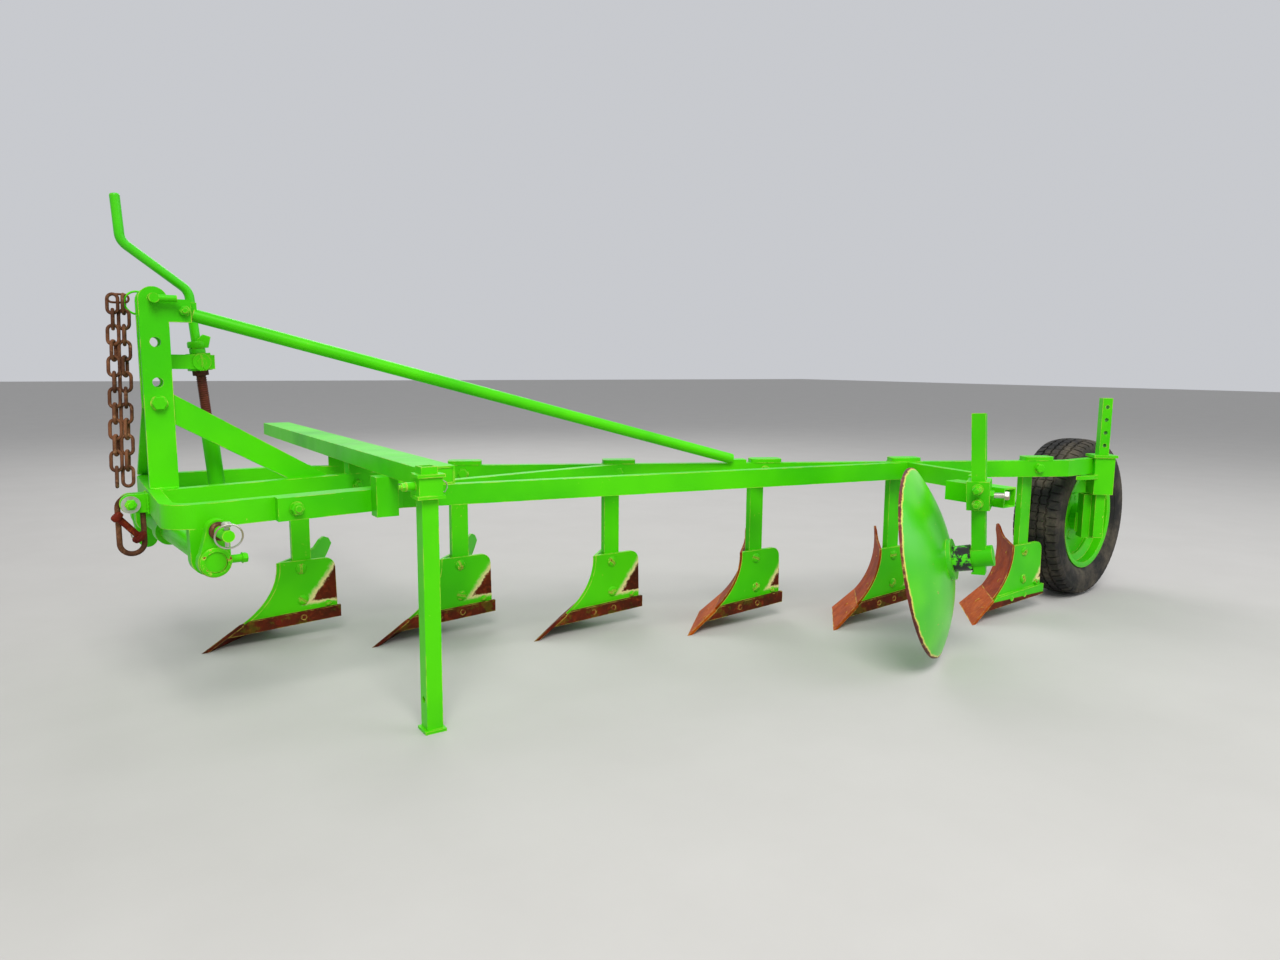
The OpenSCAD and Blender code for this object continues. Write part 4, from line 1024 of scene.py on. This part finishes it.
def link_path(inner, wire, straight, steps=10):
    """Middle line of a link: two half circles with straight sides between them."""
    r = inner + wire / 2
    path = []
    for end in (0, 1):
        for i in range(steps + 1):
            a = math.pi * (end + i / steps)
            path.append((r * math.cos(a), 0, r * math.sin(a) + (0.5 - end) * straight))
    return path


def make_chain():
    run = CHAIN_TO - CHAIN_FROM
    lean = math.degrees(math.acos(run.z / run.length))
    heading = math.degrees(math.atan2(run.y, run.x))
    link = link_path(LINK_IN, LINK_WIRE, LINK_PITCH + LINK_SLACK - 2 * LINK_IN)
    links = Parts()
    for strand in (0, 1):
        top = CHAIN_FROM - Vector((strand * STRAND_GAP, 0, 0))
        m = Matrix.Translation(at(*top)) @ turned(ry=lean, rz=heading)
        for i in range(int(run.length // LINK_PITCH)):
            # Each link is turned a quarter from the last one, and a little more or less.
            turn = (i + strand) % 2 * 90 + LINK_TWIST * math.sin(1.9 * i + 2.3 * strand)
            middle = m @ shift(0, 0, (i + 0.5) * LINK_PITCH)
            links.tube(link, LINK_WIRE / 2, middle @ turned(rz=turn), 10, closed=True)
    hanger_at = CHAIN_FROM - Vector((STRAND_GAP / 2, 0, HANGER_DROP))
    links.tube(link_path(HANGER_IN, HANGER_WIRE, STRAND_GAP + 2), HANGER_WIRE / 2,
               Matrix.Translation(at(*hanger_at)) @ turned(ry=90), 10, closed=True)
    bow_z = CLEVIS[2] + CLEVIS_PIN_R - BOW_IN - BOW_L / 2
    links.tube(link_path(BOW_IN, BOW_WIRE, BOW_L, 14), BOW_WIRE / 2,
               Matrix.Translation(at(CLEVIS[0], CLEVIS[1], bow_z)), 14, closed=True)
    chain = links.make("chain_links", "frame", RUST_CHAIN)
    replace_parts(chain, "chain")
    lathe("bow_bolt", "frame", BOW_BOLT, place(at(*BOW_BOLT_AT), BOW_BOLT_ALONG), 28,
          RUST)


# Coulter's clamp along the shank: underside, height, half width, length of its bolts' bosses.
CLAMP_LOW = 152
CLAMP_H = 88
CLAMP_HALF = 33
CLAMP_BOSS = 16
CLAMP_BOLT_IN = 22
CLAMP_BOLT = (24, 12, 14)
# Bright set screw: place along the clamp's near face, radius, length under its head; its lock nut.
SET_SCREW_X = -10
SET_SCREW_R = 8
SET_SCREW_L = 42
SET_SCREW_HEAD = (24, 12)
LOCK_NUT = (27, 11)
# Parking leg's sleeve: middle, underside. From there: its bolt, and the wire clip of its pin.
PARK = (553, -632.4)
SLEEVE_LOW = 598
SLEEVE_BOLT_AT = (-52.4, 0, 30.5)
SLEEVE_BOLT = (19, 10, 6)
SLEEVE_CLIP = ((30.4, -6, 36), (38, -10, 42), (46, -12, 36), (48, -12, 24), (42, -9, 12),
               (34, -6, 18))
CLIP_R = 1.6


def dress_clamps():
    for i, z in enumerate((CLAMP_BOLT_IN, CLAMP_H - CLAMP_BOLT_IN)):
        bolt(f"clamp_bolt_{i + 1}", "frame", SHANK_M,
             (-CLAMP_HALF - CLAMP_BOSS, 0, CLAMP_LOW + z), (-1, 0, 0), *CLAMP_BOLT)
    # The set screw is held by a painted lock nut.
    seat = SHANK_M @ shift(SET_SCREW_X, -CLAMP_HALF, CLAMP_LOW + CLAMP_H / 2) @ turned(rx=90)
    out = SHANK_M.to_3x3() @ Vector((0, -1, 0))
    nut = Parts()
    hex_head(nut, place(seat.translation, out), *LOCK_NUT, washer=False)
    nut.make("clamp_lock_nut", "frame", GREEN)
    shaft = ((0, 2), (SET_SCREW_R, 2), (SET_SCREW_R, SET_SCREW_L), (0, SET_SCREW_L))
    screw = Parts()
    screw.revolve(shaft, seat, 24)
    head_at = spot(seat, 0, 0, SET_SCREW_L - 1)
    hex_head(screw, place(head_at, out), *SET_SCREW_HEAD, washer=False)
    screw.make("clamp_set_screw", "frame", ZINC_MAT)
    sleeve = Matrix.Translation(at(*PARK, SLEEVE_LOW))
    bolt("sleeve_bolt", "frame", sleeve, SLEEVE_BOLT_AT, (-1, 0, 0), *SLEEVE_BOLT)
    clip = Parts()
    clip.tube(SLEEVE_CLIP, CLIP_R, sleeve, 8)
    clip.make("sleeve_clip", "frame", ZINC_MAT)


# Tyre: outer radius, how far the ribs lie inside it; the crown's half width, its fall there and the
# power by which it falls; blocks round the tyre.
TYRE_R = 321
RIB_IN = 1
CROWN = 78
CROWN_DROP = 11
CROWN_POWER = 2.6
CELLS = 60
# Columns: share of a tread block's pitch, 1 in the shoulder's notch, 1 in a rib's sipe.
CUTS = ((0.0, 1, 0), (0.17, 1, 0), (0.20, 0, 0), (0.52, 0, 0), (0.55, 0, 1), (0.61, 0, 1),
        (0.64, 0, 0), (0.97, 0, 0))
# Half of the side wall from the bead up. Columns: half width, radius.
WALL = ((68, 190.4), (70, 198), (69.5, 206), (74, 212), (82, 222), (84, 228), (86, 229), (89, 238),
        (91.6, 250), (92.6, 262), (92, 274), (90, 285), (90.5, 287), (90, 290), (87.5, 297))
# Columns of the shoulder, outer edge first: half width, depth of the notch.
SHOULDER = ((84, 6.5), (78, 6.5), (66, 6.5), (56, 4))
# Grooves round the tyre: places across it, width, depth, how far they wave to each side.
GROOVES = (-47, -16, 16, 47)
GROOVE_W = 7
GROOVE_D = 8
GROOVE_WAVE = 2.6
GROOVE_LIP = 1
SIPE_D = 4
SIPE_IN = 5


def tread_columns():
    """Columns across the tread: place, depths of the groove, the notch and the sipe, wave."""
    columns = [(-w, 0, notch, 0, 0) for w, notch in SHOULDER]
    for i, g in enumerate(GROOVES):
        left, right = g - GROOVE_W / 2, g + GROOVE_W / 2
        lips = ((left - GROOVE_LIP, 0), (left, GROOVE_D), (right, GROOVE_D), (right + GROOVE_LIP, 0))
        columns += [(w, depth, 0, 0, GROOVE_WAVE) for w, depth in lips]
        if i < len(GROOVES) - 1:
            next_left = GROOVES[i + 1] - GROOVE_W / 2
            columns += [(right + SIPE_IN, 0, 0, SIPE_D, 0), (next_left - SIPE_IN, 0, 0, SIPE_D, 0)]
    return columns + [(w, 0, notch, 0, 0) for w, notch in reversed(SHOULDER)]


def make_tyre():
    """Tyre with its tread, as one closed skin from bead to bead."""
    tread = tread_columns()
    near_wall = [(-w, r) for w, r in WALL]
    far_wall = list(reversed(WALL))
    cuts = [(cell + share, notch, sipe) for cell in range(CELLS) for share, notch, sipe in CUTS]
    points = []
    for pitch, in_notch, in_sipe in cuts:
        a = 2 * math.pi * pitch / CELLS
        zigzag = abs((pitch * 2) % 2 - 1) * 2 - 1
        middle = []
        for w, groove, notch, sipe, wave in tread:
            r = TYRE_R - RIB_IN - CROWN_DROP * (abs(w) / CROWN) ** CROWN_POWER
            middle.append((w + wave * zigzag, r - groove - notch * in_notch - sipe * in_sipe))
        for w, r in near_wall + middle + far_wall:
            points.append((r * math.cos(a), w, r * math.sin(a)))
    n = len(cuts)
    count = len(points) // n
    faces = []
    for i in range(n):
        j = (i + 1) % n
        for c in range(count):
            d = (c + 1) % count
            faces.append([i * count + c, i * count + d, j * count + d, j * count + c])
    rubber = Parts()
    rubber.add(points, faces, WHEEL_M)
    tyre = rubber.make("tyre_with_tread", "rear_wheel", TYRE)
    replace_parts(tyre, "tyre")


# Wheel's hub: cap, flange, circle of the nuts, the share of a step by which they are turned, and the
# faces that the nuts and the studs' heads sit on.
HUB_CAP = ((0, 17.5), (12, 16.5), (22, 12), (26, 4), (30, 2), (30, -2))
HUB_CAP_AT = -4
HUB_FLANGE = ((56, 0), (96, 0), (97, 1), (97, 6), (95, 8), (56, 8))
NUTS = 5
NUT_CIRCLE = 78
NUT_TURN = 0.3
NUT_FACE = -6
STUD_FACE = -14
WHEEL_NUT = (21, 13, 8)
STUD_HEAD = (21, 8)


def dress_wheel():
    lathe("hub_cap", "rear_wheel", HUB_CAP, WHEEL_M @ shift(0, HUB_CAP_AT, 0) @ turned(rx=-90), 40)
    for i in range(NUTS):
        a = 2 * math.pi * (i + NUT_TURN) / NUTS
        x, z = NUT_CIRCLE * math.cos(a), NUT_CIRCLE * math.sin(a)
        bolt(f"wheel_nut_{i + 1}", "rear_wheel", WHEEL_M, (x, NUT_FACE, z), (0, 1, 0), *WHEEL_NUT)
        bolt(f"wheel_stud_{i + 1}", "rear_wheel", WHEEL_M, (x, STUD_FACE, z), (0, -1, 0), *STUD_HEAD)
    lathe("hub_flange", "rear_wheel", HUB_FLANGE,
          WHEEL_M @ shift(0, STUD_FACE, 0) @ turned(rx=90), 64)


# Weld beads. Columns: start and end in the layout. Then a bead's radius and the step of its ripples.
WELDS = (((-2, -64, 524), (-2, -64, 578)), ((-2, 2, 524), (-2, 2, 578)),
         ((8, -43, 586), (74, -43, 586)), ((8, 330, 586), (74, 330, 586)),
         ((540, -320, 586), (540, -290, 586)))
WELD_R = 3.2
WELD_STEP = 3


def weld_beads():
    beads = Parts()
    for start, end in WELDS:
        a, b = Vector(start), Vector(end)
        n = max(2, int((b - a).length / WELD_STEP))
        path = []
        for i in range(n + 1):
            ripple = Vector((0.8 * math.sin(2.1 * i), 0.6 * math.cos(1.7 * i), 0.7 * math.sin(i)))
            path.append(a.lerp(b, i / n) + ripple)
        beads.tube(path, WELD_R, LAYOUT_M, 8)
    beads.make("weld_beads", "frame", GREEN)


for body in BODIES:
    land_bolts(body)
    soil_bolts(body)
frame_bolts()
beam_cap()
dress_cranks()
make_screw()
dress_screw()
make_chain()
dress_clamps()
make_tyre()
dress_wheel()
weld_beads()


# Floor and light
FLOOR_HALF = 40
FLOOR_TONES = ((0.50, 0.49, 0.47, 1), (0.45, 0.44, 0.42, 1))
SKY_TONE = (0.93, 0.95, 1.0, 1)
SKY_STRENGTH = 0.62
# Lamps, in metres of the frame. Columns: name, place, power, size, colour.
LAMPS = (("key", (-2.5, -4.5, 6.0), 400, 3.2, (1, 0.98, 0.95)),
         ("fill", (4.5, -4.0, 4.0), 130, 5.0, (0.95, 0.97, 1)),
         ("back", (1.5, 5.0, 5.0), 160, 4.0, (1, 1, 1)))
LAMP_AIM = Vector((0, 0, 0.4))


def make_stage():
    mesh = bpy.data.meshes.new("floor")
    corners = [(x * FLOOR_HALF, y * FLOOR_HALF, 0) for x, y in ((-1, -1), (1, -1), (1, 1), (-1, 1))]
    mesh.from_pydata(corners, [], [(0, 1, 2, 3)])
    floor = bpy.data.objects.new("floor", mesh)
    bpy.context.scene.collection.objects.link(floor)
    s = Shader("floor")
    mesh.materials.append(s.finish(s.mix(s.noise(3, 6), *FLOOR_TONES), 0.9))


def make_light():
    world = bpy.data.worlds.new("world")
    bpy.context.scene.world = world
    world.use_nodes = True
    background = world.node_tree.nodes["Background"]
    background.inputs["Color"].default_value = SKY_TONE
    background.inputs["Strength"].default_value = SKY_STRENGTH
    for name, where, power, size, colour in LAMPS:
        data = bpy.data.lights.new(name, "AREA")
        data.energy = power
        data.size = size
        data.color = colour
        lamp = bpy.data.objects.new(name, data)
        lamp.matrix_world = place(Vector(where), Vector(where) - LAMP_AIM)
        bpy.context.scene.collection.objects.link(lamp)


make_stage()
make_light()
bpy.context.scene.view_settings.view_transform = "Standard"
